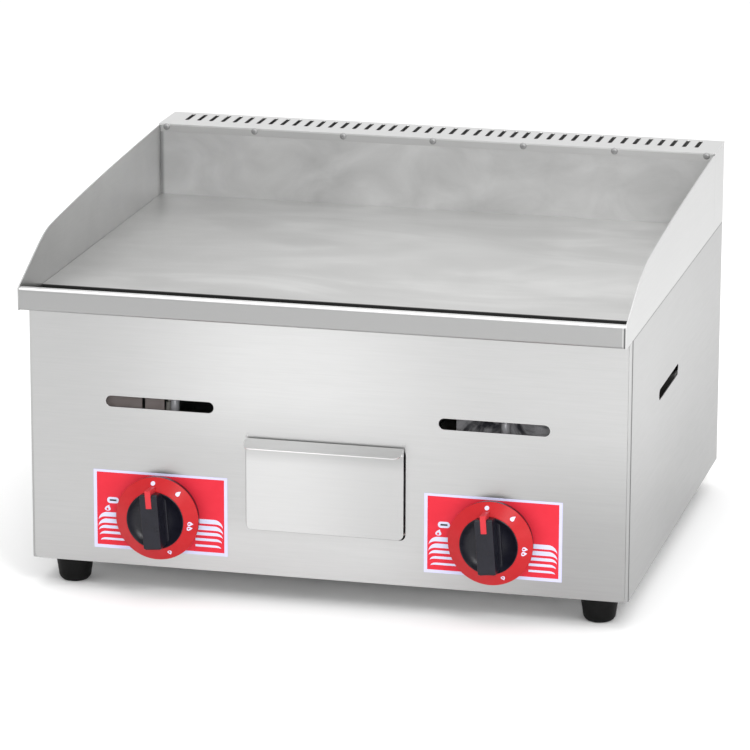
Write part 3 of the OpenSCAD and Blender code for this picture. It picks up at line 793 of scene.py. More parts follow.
def softened(
    item: bpy.types.Object, width: float, segments: int = 2, angle: float = 32.0
) -> bpy.types.Object:
    """Rounds a piece's sharp edges and shades its faces smoothly.

    Args:
        item: the piece.
        width: width of the rounded edge.
        segments: steps across it.
        angle: edges sharper than this many degrees are rounded.

    Returns:
        The piece.
    """
    finished(
        item, "BEVEL", width=width, segments=segments, limit_method="ANGLE",
        angle_limit=math.radians(angle), use_clamp_overlap=False, miter_outer="MITER_ARC",
    )
    return smoothed(item, angle)


def smoothed(item: bpy.types.Object, angle: float) -> bpy.types.Object:
    """Shades smoothly over edges flatter than an angle in degrees, with even flat faces."""
    take(item)
    bpy.ops.object.shade_smooth_by_angle(angle=math.radians(angle))
    return finished(item, "WEIGHTED_NORMAL", keep_sharp=True, weight=60)


def joined(name: str, items: Sequence[bpy.types.Object]) -> bpy.types.Object:
    """Joins pieces into one object.

    Args:
        name: the joined piece's name.
        items: the pieces.

    Returns:
        The joined piece.
    """
    take(*items)
    bpy.ops.object.join()
    return settle(bpy.context.object, name)


def copied(item: bpy.types.Object, move: Point) -> bpy.types.Object:
    """Copies a piece with its own mesh, moved.

    Args:
        item: the piece.
        move: how far the copy is moved.

    Returns:
        The copy.
    """
    take(item)
    bpy.ops.object.duplicate(linked=False)
    copy = bpy.context.object
    copy.location = Vector(copy.location) + Vector(move)
    return settle(copy, item.name + "_copy")


def combined(item: bpy.types.Object, tool: bpy.types.Object, operation: str) -> bpy.types.Object:
    """Cuts, joins or intersects a piece with a second one, which is used up.

    Args:
        item: the piece that stays.
        tool: the piece that is used up.
        operation: "DIFFERENCE", "UNION" or "INTERSECT".

    Returns:
        The piece.
    """
    finished(item, "BOOLEAN", object=tool, operation=operation, solver="EXACT")
    bpy.data.objects.remove(tool)
    return item


def dress(
    item: bpy.types.Object,
    paint: bpy.types.Material,
    body: str,
    replaces: tuple[str, ...] = (),
) -> None:
    """Gives a finished piece its material and body, and hides the CAD nodes that it stands for.

    Args:
        item: the piece.
        paint: its material.
        body: the CAD body that it rides on.
        replaces: CAD nodes that it stands for.
    """
    item.data.materials.clear()
    item.data.materials.append(paint)
    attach(item, body)
    if replaces:
        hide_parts(*replaces)
    LOG.info("%s rides %s: %d faces", item.name, body, len(item.data.polygons))


class Frame:
    """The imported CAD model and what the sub-assemblies ask of it."""

    def __init__(self, loaded: dict[str, Any]) -> None:
        self.nodes: dict[str, bpy.types.Object] = loaded["nodes"]
        self.record: dict[str, Any] = loaded["record"]
        bodies = self.record["behaviour"]["bodies"]
        self.body_of = {node: body for body, members in bodies.items() for node in members}
        self.slot_of = {part["node"]: part["material_slot"] for part in self.record["subparts"]}

    def refined(
        self,
        node: str,
        name: str,
        paint: bpy.types.Material,
        edge: float,
        change: Callable[[bpy.types.Object], None] | None = None,
    ) -> None:
        """Stands a merged copy of a CAD node, with its cut edges rounded, in its place.

        Args:
            node: the CAD node.
            name: the new piece's name.
            paint: its material.
            edge: width of the rounded edges.
            change: edit-mode changes made before the edges are rounded.
        """
        source = self.nodes[node]
        item = bpy.data.objects.new(name, source.data.copy())
        bpy.context.scene.collection.objects.link(item)
        item.data.name = name
        take(item)
        bpy.ops.object.mode_set(mode="EDIT")
        bpy.ops.mesh.select_all(action="SELECT")
        bpy.ops.mesh.remove_doubles(threshold=0.0005 * MM)
        bpy.ops.mesh.customdata_custom_splitnormals_clear()
        bpy.ops.mesh.dissolve_limited(angle_limit=math.radians(0.4))
        if change is not None:
            change(item)
        bpy.ops.object.mode_set(mode="OBJECT")
        softened(item, edge)
        dress(item, paint, self.body_of[node], (node,))

    def paint(self, node: str, paint: bpy.types.Material) -> None:
        """Gives a carried-over CAD node a better material."""
        for place in self.nodes[node].material_slots:
            place.material = paint
        LOG.info("%s keeps its CAD shape", node)


# ---------------------------------------------------------------------------
# Sub-assemblies
# ---------------------------------------------------------------------------


@dataclass
class Cabinet:
    """Front, side and rear panels and the base pan."""

    frame: Frame
    paints: Paints
    edge: float = 0.42 * MM

    def build(self) -> None:
        """Builds the panels."""
        plan = {
            "front_panel": "brushed_front",
            "left_side_panel": "satin_side",
            "right_side_panel": "satin_side",
            "rear_panel": "satin_side",
            "base_pan": "mill_sheet",
        }
        for node, finish in plan.items():
            self.frame.refined(node, node + "_sheet", self.paints[finish], self.edge)


@dataclass
class CookingTop:
    """Griddle plate, grease gutter, splash guards, back splash and flue."""

    frame: Frame
    paints: Paints
    edge: float = 0.25 * MM
    plate_edge: float = 0.5 * MM
    hem_near: float = 10.0 * MM
    hem_far: float = 14.0 * MM
    hem_depth: float = 2.0 * MM
    hem_short: float = 4.5 * MM

    def build(self) -> None:
        """Builds the top's pieces."""
        plan = {
            # The guards' two tones are painted shade and painted light.
            "left_splash_guard": "guard_painted_shade",
            "right_splash_guard": "guard_painted_light",
            "back_splash": "satin_top",
            "flue_box": "guard_painted_light",
            "flue_cover": "satin_cover",
            "drain_spout": "mill_sheet",
        }
        for node, finish in plan.items():
            self.frame.refined(node, node + "_sheet", self.paints[finish], self.edge)
        # The lip's sheet carries painted shade and highlights.
        self.frame.refined(
            "grease_gutter", "grease_gutter_sheet", self.paints["lip_painted_light"], self.edge, self.trim_hem,
        )
        self.plate()

    def trim_hem(self, item: bpy.types.Object) -> None:
        """Draws the rear edge of the lip's fold forward, so that the plate's cut edge shows."""
        low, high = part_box("grease_gutter")
        near, far, under = low.y + self.hem_near, low.y + self.hem_far, high.z - self.hem_depth
        pick(item, "verts", lambda vert: near < vert.co.y < far and vert.co.z > under)
        bpy.ops.transform.translate(value=(0, -self.hem_short, 0))

    def plate(self) -> None:
        """Builds the ground plate with its broken edges."""
        low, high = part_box("griddle_plate")
        item = block("cooking_plate", low, high)
        softened(item, self.plate_edge, 3)
        dress(item, self.paints["ground_plate"], "chassis", ("griddle_plate",))


@dataclass
class DripTray:
    """The pull-out bin and its front."""

    frame: Frame
    paints: Paints
    edge: float = 0.25 * MM

    def build(self) -> None:
        """Builds the tray's two pieces."""
        self.frame.refined("drip_tray_bin", "tray_bin", self.paints["mill_sheet"], self.edge)
        self.frame.refined("drip_tray_front", "tray_front", self.paints["brushed_tray"], self.edge)


@dataclass
class Control:
    """One gas control: its label, the knob's ring, grip and pointer, and the return spring.

    Knob sizes are radii and distances in front of the panel's face. A place on the knob is
    (across, up, out), as seen from the front with the pointer upright.
    """

    paints: Paints
    side: Side
    rest_turn: float = 4.5
    ring_thick: float = 0.8 * MM
    ring_edge: float = 0.22 * MM
    wall: float = 1.8 * MM
    skirt_draft: float = 0.9 * MM
    dish: float = 26.4 * MM
    dish_depth: float = 4.2 * MM
    flat_floor: float = 12.0 * MM
    hub: float = 7.0 * MM
    bore: float = 4.05 * MM
    bore_ends: tuple[float, float] = (2.0 * MM, 21.0 * MM)
    bar_half: float = 8.5 * MM
    bar_end_round: float = 3.0 * MM
    bar_edge: float = 0.6 * MM
    step_width: float = 2.6 * MM
    step_height: float = 2.2 * MM
    step_round: float = 1.0 * MM
    step_rise: float = 0.8 * MM
    pointer_half: float = 2.6 * MM
    pointer_edge: float = 0.25 * MM
    mark_radius: float = 33.2 * MM
    dot: float = 2.1 * MM
    pair_turn: float = 101.0
    pair_inwards: float = 1.2 * MM
    last_turn: float = 161.0
    last_inwards: float = 0.7 * MM
    print_step: float = 0.05 * MM
    label_border: float = 3.0 * MM
    bubble_place: tuple[float, float] = (-44.5 * MM, 59.7 * MM)
    bubble_half: float = 2.6 * MM
    bubble_round: float = 2.9 * MM
    flame_height: float = 52.4 * MM
    spring_turns: float = 4.5
    spring_wire: float = 0.6 * MM
    push: float = 3.0 * MM

    def __post_init__(self) -> None:
        """Takes the control's place from its CAD nodes."""
        low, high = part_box(f"{self.side.value}_stem")
        self.axis_x = (low.x + high.x) / 2
        self.axis_z = (low.z + high.z) / 2
        self.face_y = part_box("front_panel")[0].y
        ring_low, ring_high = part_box(f"{self.side.value}_knob_ring")
        self.skirt = (ring_high.x - ring_low.x) / 2
        self.rim = self.face_y - ring_high.y + self.ring_thick
        self.crest = self.face_y - ring_low.y
        self.dish_floor = self.crest - self.dish_depth
        self.back = self.face_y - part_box(f"{self.side.value}_knob_grip")[1].y
        self.centre = Vector((self.axis_x, self.face_y, self.axis_z))

    def build(self) -> None:
        """Builds the control."""
        self.label()
        self.ring()
        self.grip()
        self.marks()
        self.spring()

    def at(self, across: float, up: float, out: float) -> Vector:
        """A place on the knob, in the frame, before the knob's small turn."""
        return self.centre + Vector((across, -out, up))

    def name(self, part: str) -> str:
        """A part's name on this side."""
        return f"{self.side.value}_{part}"

    def lathed(self, name: str, profile: Sequence[tuple[float, float]], steps: int) -> bpy.types.Object:
        """Turns a profile of (radius, out) pairs round the knob's axis."""
        return turned(name, profile, (0, -1, 0), self.centre, steps)

    def drum(self, name: str, radius: float, start: float, end: float, steps: int) -> bpy.types.Object:
        """Turns a solid drum round the knob's axis.

        Args:
            name: its name.
            radius: its radius.
            start: how far out it starts.
            end: how far out it ends.
            steps: number of steps in a full turn.

        Returns:
            The drum.
        """
        return self.lathed(name, [(0, start), (radius, start), (radius, end), (0, end)], steps)

    def dress_knob(self, item: bpy.types.Object, finish: str, part: str = "") -> None:
        """Turns a knob piece to the off stop and dresses it.

        Args:
            item: the piece.
            finish: the name of its finish.
            part: the CAD part that it stands for, if any.
        """
        turn(item, -math.radians(self.rest_turn), "Y", self.centre)
        nodes = (self.name(part),) if part else ()
        dress(item, self.paints[finish], self.name("knob"), nodes)

    def ring(self) -> None:
        """Turns the red ring plate that lies on the skirt."""
        inner, shoulder = self.dish + 0.05 * MM, self.dish + 0.8 * MM
        under = self.crest - self.ring_thick
        profile = [
            (self.skirt, self.rim - self.ring_thick), (self.skirt, self.rim), (shoulder, self.crest),
            (inner, self.crest), (inner, under), (shoulder, under),
        ]
        item = self.lathed(self.name("skirt_ring"), profile, 96)
        softened(item, self.ring_edge)
        self.dress_knob(item, "skirt_red", "knob_ring")

    def grip(self) -> None:
        """Builds the black grip: skirt and dish, a bar with a step on each side, and the pointer."""
        item = self.dish_body()
        bar = self.bar()
        for way in (-1, 1):
            bar = combined(bar, self.side_step(way), "UNION")
        item = combined(item, bar, "UNION")
        pointer = self.pointer()
        item = combined(item, copied(pointer, (0, 0, 0)), "DIFFERENCE")
        item = combined(item, self.drum("bore", self.bore, *self.bore_ends, 48), "DIFFERENCE")
        item.name = self.name("grip")
        smoothed(item, 28.0)
        self.dress_knob(item, "grip_phenolic", "knob_grip")
        softened(pointer, self.pointer_edge)
        self.dress_knob(pointer, "pointer_red", "knob_pointer")

    def dish_body(self) -> bpy.types.Object:
        """Turns the hollow skirt and dish with the hub.

        Returns:
            The dish.
        """
        lip = self.dish - 0.9 * MM
        rise = self.crest + 0.2 * MM - self.dish_floor
        bowl = []
        for step in range(13):
            radius = lip + (self.flat_floor - lip) * step / 12
            share = (radius - self.flat_floor) / (lip - self.flat_floor)
            bowl.append((radius, self.dish_floor + rise * share ** 2.4))
        under = self.ring_thick + 0.02 * MM
        inner, draft = self.skirt - self.wall, self.skirt_draft
        profile = [
            (0, self.back), (self.hub, self.back), (self.hub, self.dish_floor - 2 * MM),
            (self.dish - 0.6 * MM, self.dish_floor - 2 * MM),
            (self.dish + 0.6 * MM, self.crest - under - 2 * MM),
            (inner, self.rim - under - 1.4 * MM), (inner - draft, self.back + 0.4 * MM),
            (inner + 0.4 * MM - draft, self.back), (self.skirt - 0.4 * MM - draft, self.back),
            (self.skirt - draft, self.back + 0.4 * MM), (self.skirt, self.rim - under),
            (self.dish + 0.8 * MM, self.crest - under), (self.dish, self.crest - under),
            (self.dish, self.crest + 0.2 * MM), (self.dish - 0.4 * MM, self.crest + 0.5 * MM),
            *bowl, (0, self.dish_floor),
        ]
        return self.lathed("dish", profile, 96)

    def bar(self) -> bpy.types.Object:
        """Builds the bar: drafted, with round corners at its lower end and soft long edges.

        Returns:
            The bar.
        """
        # (up, out) in millimetres, once round the bar as seen from its side
        side = [
            (-19.5, 13.4), (-22.6, 19.4), (-23.3, 31.4), (-21.9, 33.0),
            (25.8, 33.0), (27.7, 30.8), (26.4, 19.8), (24.2, 18.7), (21.5, 13.4),
        ]
        outline = [self.at(-self.bar_half, up * MM, out * MM) for up, out in side]
        item = cut_out("bar", outline, (2 * self.bar_half, 0, 0))
        take(item)
        bpy.ops.object.mode_set(mode="EDIT")
        top_y = self.face_y - 28 * MM
        pick(item, "verts", lambda vert: vert.co.y < top_y)
        bpy.ops.transform.resize(value=(0.95, 1, 1), center_override=tuple(self.centre))
        low_end = self.axis_z - 15 * MM

        def corner(edge: bmesh.types.BMEdge) -> bool:
            """Whether an edge is a corner of the lower end, and not one that runs across it."""
            first, second = (vert.co for vert in edge.verts)
            lengthwise = abs(first.x - second.x) < 2 * MM and first.z != second.z
            return lengthwise and max(first.z, second.z) < low_end

        pick(item, "edges", corner)
        bpy.ops.mesh.bevel(offset=self.bar_end_round, segments=4, affect="EDGES", clamp_overlap=True)
        bpy.ops.object.mode_set(mode="OBJECT")
        return finished(
            item, "BEVEL", width=self.bar_edge, segments=3, limit_method="ANGLE",
            angle_limit=math.radians(40), use_clamp_overlap=True,
        )

    def side_step(self, way: int) -> bpy.types.Object:
        """Builds the low step beside the bar, with a round edge.

        Args:
            way: -1 for the left of the bar and 1 for the right.

        Returns:
            The step.
        """
        base = self.dish_floor - 1.2 * MM
        top = self.dish_floor + self.step_height
        wall, edge = self.bar_half - 0.6 * MM, self.bar_half + self.step_width
        outline = [(wall, base), (edge, base)]
        for step in range(7):
            angle = math.pi / 2 * step / 6
            outline.append((
                edge - self.step_round * (1 - math.cos(angle)),
                top - self.step_round * (1 - math.sin(angle)),
            ))
        outline.append((self.bar_half + 0.3 * MM, top))
        outline.append((self.bar_half - 0.2 * MM, top + self.step_rise))
        outline.append((wall, top + self.step_rise))
        length = 48 * MM
        points = [self.at(way * across, -length / 2, out) for across, out in outline]
        limit = self.drum("limit", self.dish - 1.8 * MM, 5 * MM, 30 * MM, 96)
        return combined(cut_out("step", points, (0, 0, length)), limit, "INTERSECT")

    def pointer(self) -> bpy.types.Object:
        """Builds the coloured insert in the bar's upper end.

        Returns:
            The pointer.
        """
        # (up, out) in millimetres, once round the insert as seen from its side
        side = [
            (15.3, 31.5), (15.3, 33.6), (31.7, 33.6), (31.2, 16.3), (27.2, 18.9), (25.4, 19.6), (25.4, 31.5),
        ]
        outline = [self.at(-self.pointer_half, up * MM, out * MM) for up, out in side]
        return cut_out(self.name("pointer"), outline, (2 * self.pointer_half, 0, 0))

    def on_skirt(
        self, turn_angle: float, shape: Sequence[tuple[float, float]], lift: float, inwards: float = 0.0
    ) -> bpy.types.Object:
        """Prints a shape on the skirt's cone.

        Args:
            turn_angle: degrees clockwise from the top.
            shape: outline as (across, outwards) pairs about the mark's middle.
            lift: height of the print above the cone.
            inwards: how far the mark lies inside the marks' radius.

        Returns:
            The mark.
        """
        angle = math.radians(turn_angle)
        slope = math.atan2(self.crest - self.rim, self.skirt - self.dish - 0.8 * MM)
        radial = Vector((math.sin(angle), 0, math.cos(angle)))
        across = Vector((math.cos(angle), 0, -math.sin(angle)))
        out = Vector((0, -1, 0))
        outwards = radial * math.cos(slope) - out * math.sin(slope)
        normal = radial * math.sin(slope) + out * math.cos(slope)
        radius = self.mark_radius - inwards
        height = self.rim + (self.skirt - radius) * math.tan(slope)
        middle = self.centre + radial * radius + out * height - normal * 0.2 * MM
        points = [middle + across * a + outwards * b for a, b in shape]
        return cut_out("mark", points, normal * (0.2 * MM + lift))

    @staticmethod
    def drop(width: float, height: float, place: tuple[float, float] = (0, 0), lean: float = 0.0) -> list:
        """Outline of a flame: round below, with its tip on top.

        Args:
            width: half its width.
            height: half its height.
            place: its middle.
            lean: sideways shift of the tip.

        Returns:
            The outline's points.
        """
        points = []
        for step in range(20):
            angle = 2 * math.pi * step / 20
            up = math.cos(angle)
            across = width * 1.3 * math.sin(angle) * abs(math.sin(angle / 2)) ** 1.4
            points.append((place[0] + across + lean * max(up, 0) ** 2, place[1] + height * up))
        return points

    def marks(self) -> None:
        """Prints the off dot and the flame marks on the skirt."""
        turns = [k * math.pi / 10 for k in range(20)]
        dot = [(self.dot * math.sin(angle), self.dot * math.cos(angle)) for angle in turns]
        large, small = 0.12 * MM, 0.2 * MM
        flame = self.drop(2.1 * MM, 2.9 * MM, lean=0.9 * MM)
        white = [self.on_skirt(0, dot, large, -0.4 * MM), self.on_skirt(43.5, flame, large)]
        for place, lean in (((-2.1 * MM, 0.2 * MM), 0.5 * MM), ((2.3 * MM, 0.0), -0.4 * MM)):
            shape = self.drop(2.1 * MM, 2.8 * MM, place, lean)
            white.append(self.on_skirt(self.pair_turn, shape, large, self.pair_inwards))
        shape = self.drop(2.0 * MM, 2.6 * MM, lean=0.6 * MM)
        white.append(self.on_skirt(self.last_turn, shape, large, self.last_inwards))
        self.dress_knob(joined(self.name("skirt_marks"), white), "print_white")
        red = []
        for place in (-2.1 * MM, 2.3 * MM):
            shape = self.drop(0.8 * MM, 1.2 * MM, (place, -0.8 * MM))
            red.append(self.on_skirt(self.pair_turn, shape, small, self.pair_inwards))
        shape = self.drop(0.8 * MM, 1.1 * MM, (0, -0.7 * MM))
        red.append(self.on_skirt(self.last_turn, shape, small, self.last_inwards))
        self.dress_knob(joined(self.name("flame_hearts"), red), "skirt_red")

    def label(self) -> None:
        """Builds the control label: white film, red field and white prints."""
        node = self.name("control_label")
        low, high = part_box(node)
        base = block(self.name("label_film"), low, high)
        softened(base, 0.1 * MM)
        self.print_on(base, "label_white", (node,))
        edge = self.label_border
        field_low = Vector((low.x + edge, low.y - self.print_step, low.z + edge))
        field_high = Vector((high.x - edge, low.y + self.print_step, high.z - edge * 0.75))
        red = block(self.name("label_field"), field_low, field_high)
        softened(red, 0.02 * MM, 1)
        self.print_on(red, "label_red")
        # height, thickness, tip and drop of each stripe, in millimetres
        sizes = (
            (46.1, 4.2, 58.2, 4.0), (40.0, 4.0, 58.4, 3.8), (34.4, 2.8, 58.0, 2.4),
            (29.0, 2.4, 57.2, 1.6), (23.2, 2.0, 56.4, 0.8),
        )
        prints = [self.stripe(way, *stripe) for way in (-1, 1) for stripe in sizes]
        prints.append(self.bubble())
        flame = [(a - 49.5 * MM, b) for a, b in self.drop(3.0 * MM, 2.9 * MM, lean=1.6 * MM)]
        prints.append(self.printed(flame, self.flame_height, 2))
        self.print_on(joined(self.name("label_prints"), prints), "print_white")
        bar = [(-47.6, 0.8), (-41.2, 0.8), (-41.2, -0.8), (-47.6, -0.8)]
        dash = self.printed([(a * MM, b * MM) for a, b in bar], self.bubble_place[1], 3)
        inner = [(a - 49.7 * MM, b) for a, b in self.drop(1.1 * MM, 1.2 * MM, (0, -1.0 * MM))]
        heart = self.printed(inner, self.flame_height, 3)
        dash.name = self.name("label_dash")
        self.print_on(dash, "electrode_cap")
        heart.name = self.name("label_heart")
        self.print_on(heart, "label_red")

    def print_on(self, item: bpy.types.Object, finish: str, nodes: tuple[str, ...] = ()) -> None:
        """Dresses a label piece."""
        dress(item, self.paints[finish], "chassis", nodes)

    def printed(self, shape: Sequence[tuple[float, float]], height: float, layer: int) -> bpy.types.Object:
        """Prints a shape on the label.

        Args:
            shape: outline as (across, up) pairs, about the control's axis and the given height.
            height: height above the body's underside.
            layer: number of print steps that it stands above the film.

        Returns:
            The printed shape.
        """
        low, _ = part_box(self.name("control_label"))
        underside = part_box("front_panel")[0].z
        points = [(self.axis_x + a, low.y, underside + height + b) for a, b in shape]
        return cut_out("print", points, (0, -layer * self.print_step, 0))

    def stripe(self, way: int, height: float, thickness: float, tip: float, drop: float) -> bpy.types.Object:
        """Prints one stripe, whose outer end curls down to a tip.

        Args:
            way: -1 for the left and 1 for the right.
            height: height of its middle above the body's underside, in millimetres.
            thickness: its thickness, in millimetres.
            tip: distance of its tip from the control's axis, in millimetres.
            drop: how far the tip lies below its lower edge, in millimetres.

        Returns:
            The stripe.
        """
        inner, half = 32.5, thickness / 2
        curl = 3.2 + thickness * 1.2
        outline = [(inner, -half), (inner, half)]
        for step in range(9):
            angle = math.pi / 2 * step / 8
            outline.append((
                tip - curl * (1 - math.sin(angle)),
                -half - drop + (thickness + drop) * math.cos(angle),
            ))
        for step in range(1, 7):
            angle = math.pi / 2 * (1 - step / 6)
            outline.append((
                tip - curl * 0.85 * (1 - math.sin(angle)),
                -half - drop + drop * math.cos(angle),
            ))
        return self.printed([(way * a * MM, b * MM) for a, b in outline], height * MM, 2)

    def bubble(self) -> bpy.types.Object:
        """Prints the round-ended white field beside the knob.

        Returns:
            The field.
        """
        outline = []
        middle, height = self.bubble_place
        for step in range(24):
            angle = 2 * math.pi * step / 24
            shift = self.bubble_half if math.cos(angle) >= 0 else -self.bubble_half
            across = middle + shift + self.bubble_round * math.cos(angle)
            outline.append((across, self.bubble_round * math.sin(angle)))
        return self.printed(outline, height, 2)

    def spring(self) -> None:
        """Winds the return spring, with closed ends."""
        node = self.name("return_spring")
        low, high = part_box(node)
        radius = (high.x - low.x) / 2 - self.spring_wire
        middle = Vector((self.axis_x, 0, self.axis_z))
        start, end = low.y + self.spring_wire, high.y - self.spring_wire
        points = int(24 * self.spring_turns)
        curve = bpy.data.curves.new(self.name("spring"), "CURVE")
        curve.dimensions = "3D"
        curve.bevel_depth = self.spring_wire
        curve.bevel_resolution = 3
        curve.use_fill_caps = True
        spline = curve.splines.new("POLY")
        spline.points.add(points)
        for step in range(points + 1):
            share = step / points
            angle = 2 * math.pi * self.spring_turns * share
            eased = share - 0.055 * math.sin(2 * math.pi * share)
            spline.points[step].co = (
                middle.x + radius * math.cos(angle),
                start + (end - start) * eased,
                middle.z + radius * math.sin(angle),
                1.0,
            )
        item = bpy.data.objects.new(self.name("spring"), curve)
        bpy.context.scene.collection.objects.link(item)
        take(item)
        bpy.ops.object.convert(target="MESH")
        item = settle(bpy.context.object, self.name("spring_coil"))
        smoothed(item, 40.0)
        dress(item, self.paints["bright_stem"], self.name("plug"), (node,))
        self.name("knob_push")
        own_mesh(item)


@dataclass
class Feet:
    """Four turned rubber feet."""

    paints: Paints
    tread: float = 9.5 * MM
    recess: float = 6.5 * MM
    recess_depth: float = 9.0 * MM
    bore: float = 3.2 * MM
    shoulder: float = 7.5 * MM

    def build(self) -> None:
        """Turns one foot and copies it to the four corners."""
        nodes = ("foot_front_left", "foot_front_right", "foot_rear_left", "foot_rear_right")
        boxes = [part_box(node) for node in nodes]
        middles = [Vector(((low.x + high.x) / 2, (low.y + high.y) / 2, low.z)) for low, high in boxes]
        low, high = boxes[0]
        first = self.turned_foot(middles[0], (high.x - low.x) / 2, high.z - low.z)
        feet = [first] + [copied(first, middle - middles[0]) for middle in middles[1:]]
        for node, item in zip(nodes, feet):
            item.name = "rubber_" + node
            dress(item, self.paints["foot_rubber"], "chassis", (node,))

    def turned_foot(self, middle: Vector, radius: float, height: float) -> bpy.types.Object:
        """Turns one foot.

        Args:
            middle: the middle of its tread.
            radius: its largest radius.
            height: its height.

        Returns:
            The foot.
        """
        low_radius = radius - 3 * MM
        profile = [(self.bore, height), (radius, height), (radius - 0.3 * MM, height - 2 * MM)]
        for step in range(9):
            angle = math.pi / 2 * step / 8
            profile.append((
                self.tread + (low_radius - self.tread) * math.cos(angle),
                self.shoulder * (1 - math.sin(angle)),
            ))
        profile += [(self.recess, 0), (self.recess, self.recess_depth), (self.bore, self.recess_depth)]
        item = turned("rubber_foot", profile, (0, 0, 1), middle, 64)
        return softened(item, 0.4 * MM, angle=40.0)


@dataclass
class PanScrews:
    """Pan-head screws: one modelled, the others copied."""

    paints: Paints
    head: float = 3.3 * MM
    head_height: float = 1.98 * MM
    cover_count: int = 7
    shank: float = 6.0 * MM

    def build(self) -> None:
        """Places the flue cover's and the rear panel's screws."""
        low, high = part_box("flue_cover_screws")
        seat = low.y + self.head_height
        span = high.x - low.x - 2 * self.head
        places = [
            Vector((low.x + self.head + span * k / (self.cover_count - 1), seat, (low.z + high.z) / 2))
            for k in range(self.cover_count)
        ]
        self.row("flue_cover_pan_screws", places, -1, self.shank, "flue_cover_screws")
        low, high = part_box("panel_screws")
        seat = high.y - self.head_height
        places = [
            Vector((x, seat, z))
            for x in (low.x + self.head, high.x - self.head)
            for z in (low.z + self.head, (low.z + high.z) / 2, high.z - self.head)
        ]
        self.row("rear_panel_pan_screws", places, 1, seat - low.y, "panel_screws")

    def row(self, name: str, places: Sequence[Vector], way: int, shank: float, node: str) -> None:
        """Models one screw, copies it to every place and joins the copies.

        Args:
            name: the joined piece's name.
            places: the middles of the heads' seats.
            way: -1 for heads that face the front and 1 for the back.
            shank: length behind the seat.
            node: the CAD node that they stand for.
        """
        first = self.screw(places[0], way, shank)
        items = [first] + [copied(first, place - places[0]) for place in places[1:]]
        dress(joined(name, items), self.paints["bright_screw"], "chassis", (node,))

    def screw(self, seat: Vector, way: int, shank: float) -> bpy.types.Object:
        """Turns one screw and cuts its cross recess.

        Args:
            seat: the middle of its head's seat.
            way: -1 or 1 along Y, the way its head faces.
            shank: length behind the seat.

        Returns:
            The screw.
        """
        body = self.head * 0.45
        profile = [(0, -shank), (body * 0.6, -shank), (body, -shank + body * 0.5), (body, 0), (self.head, 0)]
        for step in range(1, 8):
            angle = math.pi / 2 * step / 8
            profile.append((self.head * math.cos(angle * 0.92), self.head_height * math.sin(angle)))
        profile.append((0, self.head_height))
        item = turned("screw", profile, (0, way, 0), seat, 40)
        arm, width = self.head * 0.52, self.head * 0.11
        deep = sorted((seat.y + way * self.head_height * 0.45, seat.y + way * self.head_height * 1.3))
        for half_x, half_z in ((arm, width), (width, arm)):
            low = (seat.x - half_x, deep[0], seat.z - half_z)
            high = (seat.x + half_x, deep[1], seat.z + half_z)
            item = combined(item, block("cutter", low, high), "DIFFERENCE")
        return smoothed(item, 35.0)


@dataclass
class GasInlet:
    """The threaded nipple behind the rear panel, with its collar and locknut."""

    paints: Paints
    thread: float = 10.48 * MM
    depth: float = 1.1 * MM
    pitch: float = 1.814 * MM
    bore: float = 6.0 * MM
    across_flats: float = 27.0 * MM
    nut: float = 6.0 * MM

    def build(self) -> None:
        """Builds the nipple and its two nuts."""
        low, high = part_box("gas_inlet")
        middle = Vector(((low.x + high.x) / 2, 0, (low.z + high.z) / 2))
        panel_low, panel_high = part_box("rear_panel")
        nipple = self.nipple(middle, low.y, high.y, panel_high.y + self.nut)
        dress(nipple, self.paints["machined_brass"], "chassis", ("gas_inlet",))
        for name, start in (("inlet_collar", panel_high.y), ("inlet_locknut", panel_low.y - self.nut)):
            item = self.hexagon(name, middle, start)
            dress(item, self.paints["machined_brass"], "chassis")

    def nipple(self, middle: Vector, start: float, end: float, thread_start: float) -> bpy.types.Object:
        """Turns the nipple with its thread.

        Args:
            middle: a point on its axis, at y = 0.
            start: its inner end along Y.
            end: its outer end along Y.
            thread_start: where the thread starts along Y.

        Returns:
            The nipple.
        """
        root = self.thread - self.depth
        plain = self.thread - 0.4 * MM
        profile = [(self.bore, start), (plain, start), (plain, thread_start)]
        place = thread_start + self.pitch
        while place < end - self.pitch:
            profile += [
                (root, place - self.pitch * 0.42), (root, place - self.pitch * 0.28),
                (self.thread, place - self.pitch * 0.06), (self.thread, place + self.pitch * 0.08),
            ]
            place += self.pitch * 0.72
        profile += [(root, end - 1.2 * MM), (root, end - 0.4 * MM), (root - 0.5 * MM, end), (self.bore, end)]
        item = turned("inlet_nipple", profile, (0, 1, 0), middle, 56)
        return smoothed(item, 30.0)

    def hexagon(self, name: str, middle: Vector, start: float) -> bpy.types.Object:
        """Builds a six-sided nut with chamfered corners.

        Args:
            name: the nut's name.
            middle: a point on its axis, at y = 0.
            start: its inner face along Y.

        Returns:
            The nut.
        """
        corner = self.across_flats / math.sqrt(3)
        outer = [(0, start), (corner, start), (corner, start + self.nut), (0, start + self.nut)]
        item = turned(name, outer, (0, 1, 0), middle, 6)
        flat = self.across_flats / 2
        round_profile = [
            (self.thread + 0.05 * MM, start), (flat + 0.3 * MM, start), (corner, start + 1.2 * MM),
            (corner, start + self.nut - 1.2 * MM), (flat + 0.3 * MM, start + self.nut),
            (self.thread + 0.05 * MM, start + self.nut),
        ]
        item = combined(item, turned("chamfer", round_profile, (0, 1, 0), middle, 96), "INTERSECT")
        return smoothed(item, 30.0)


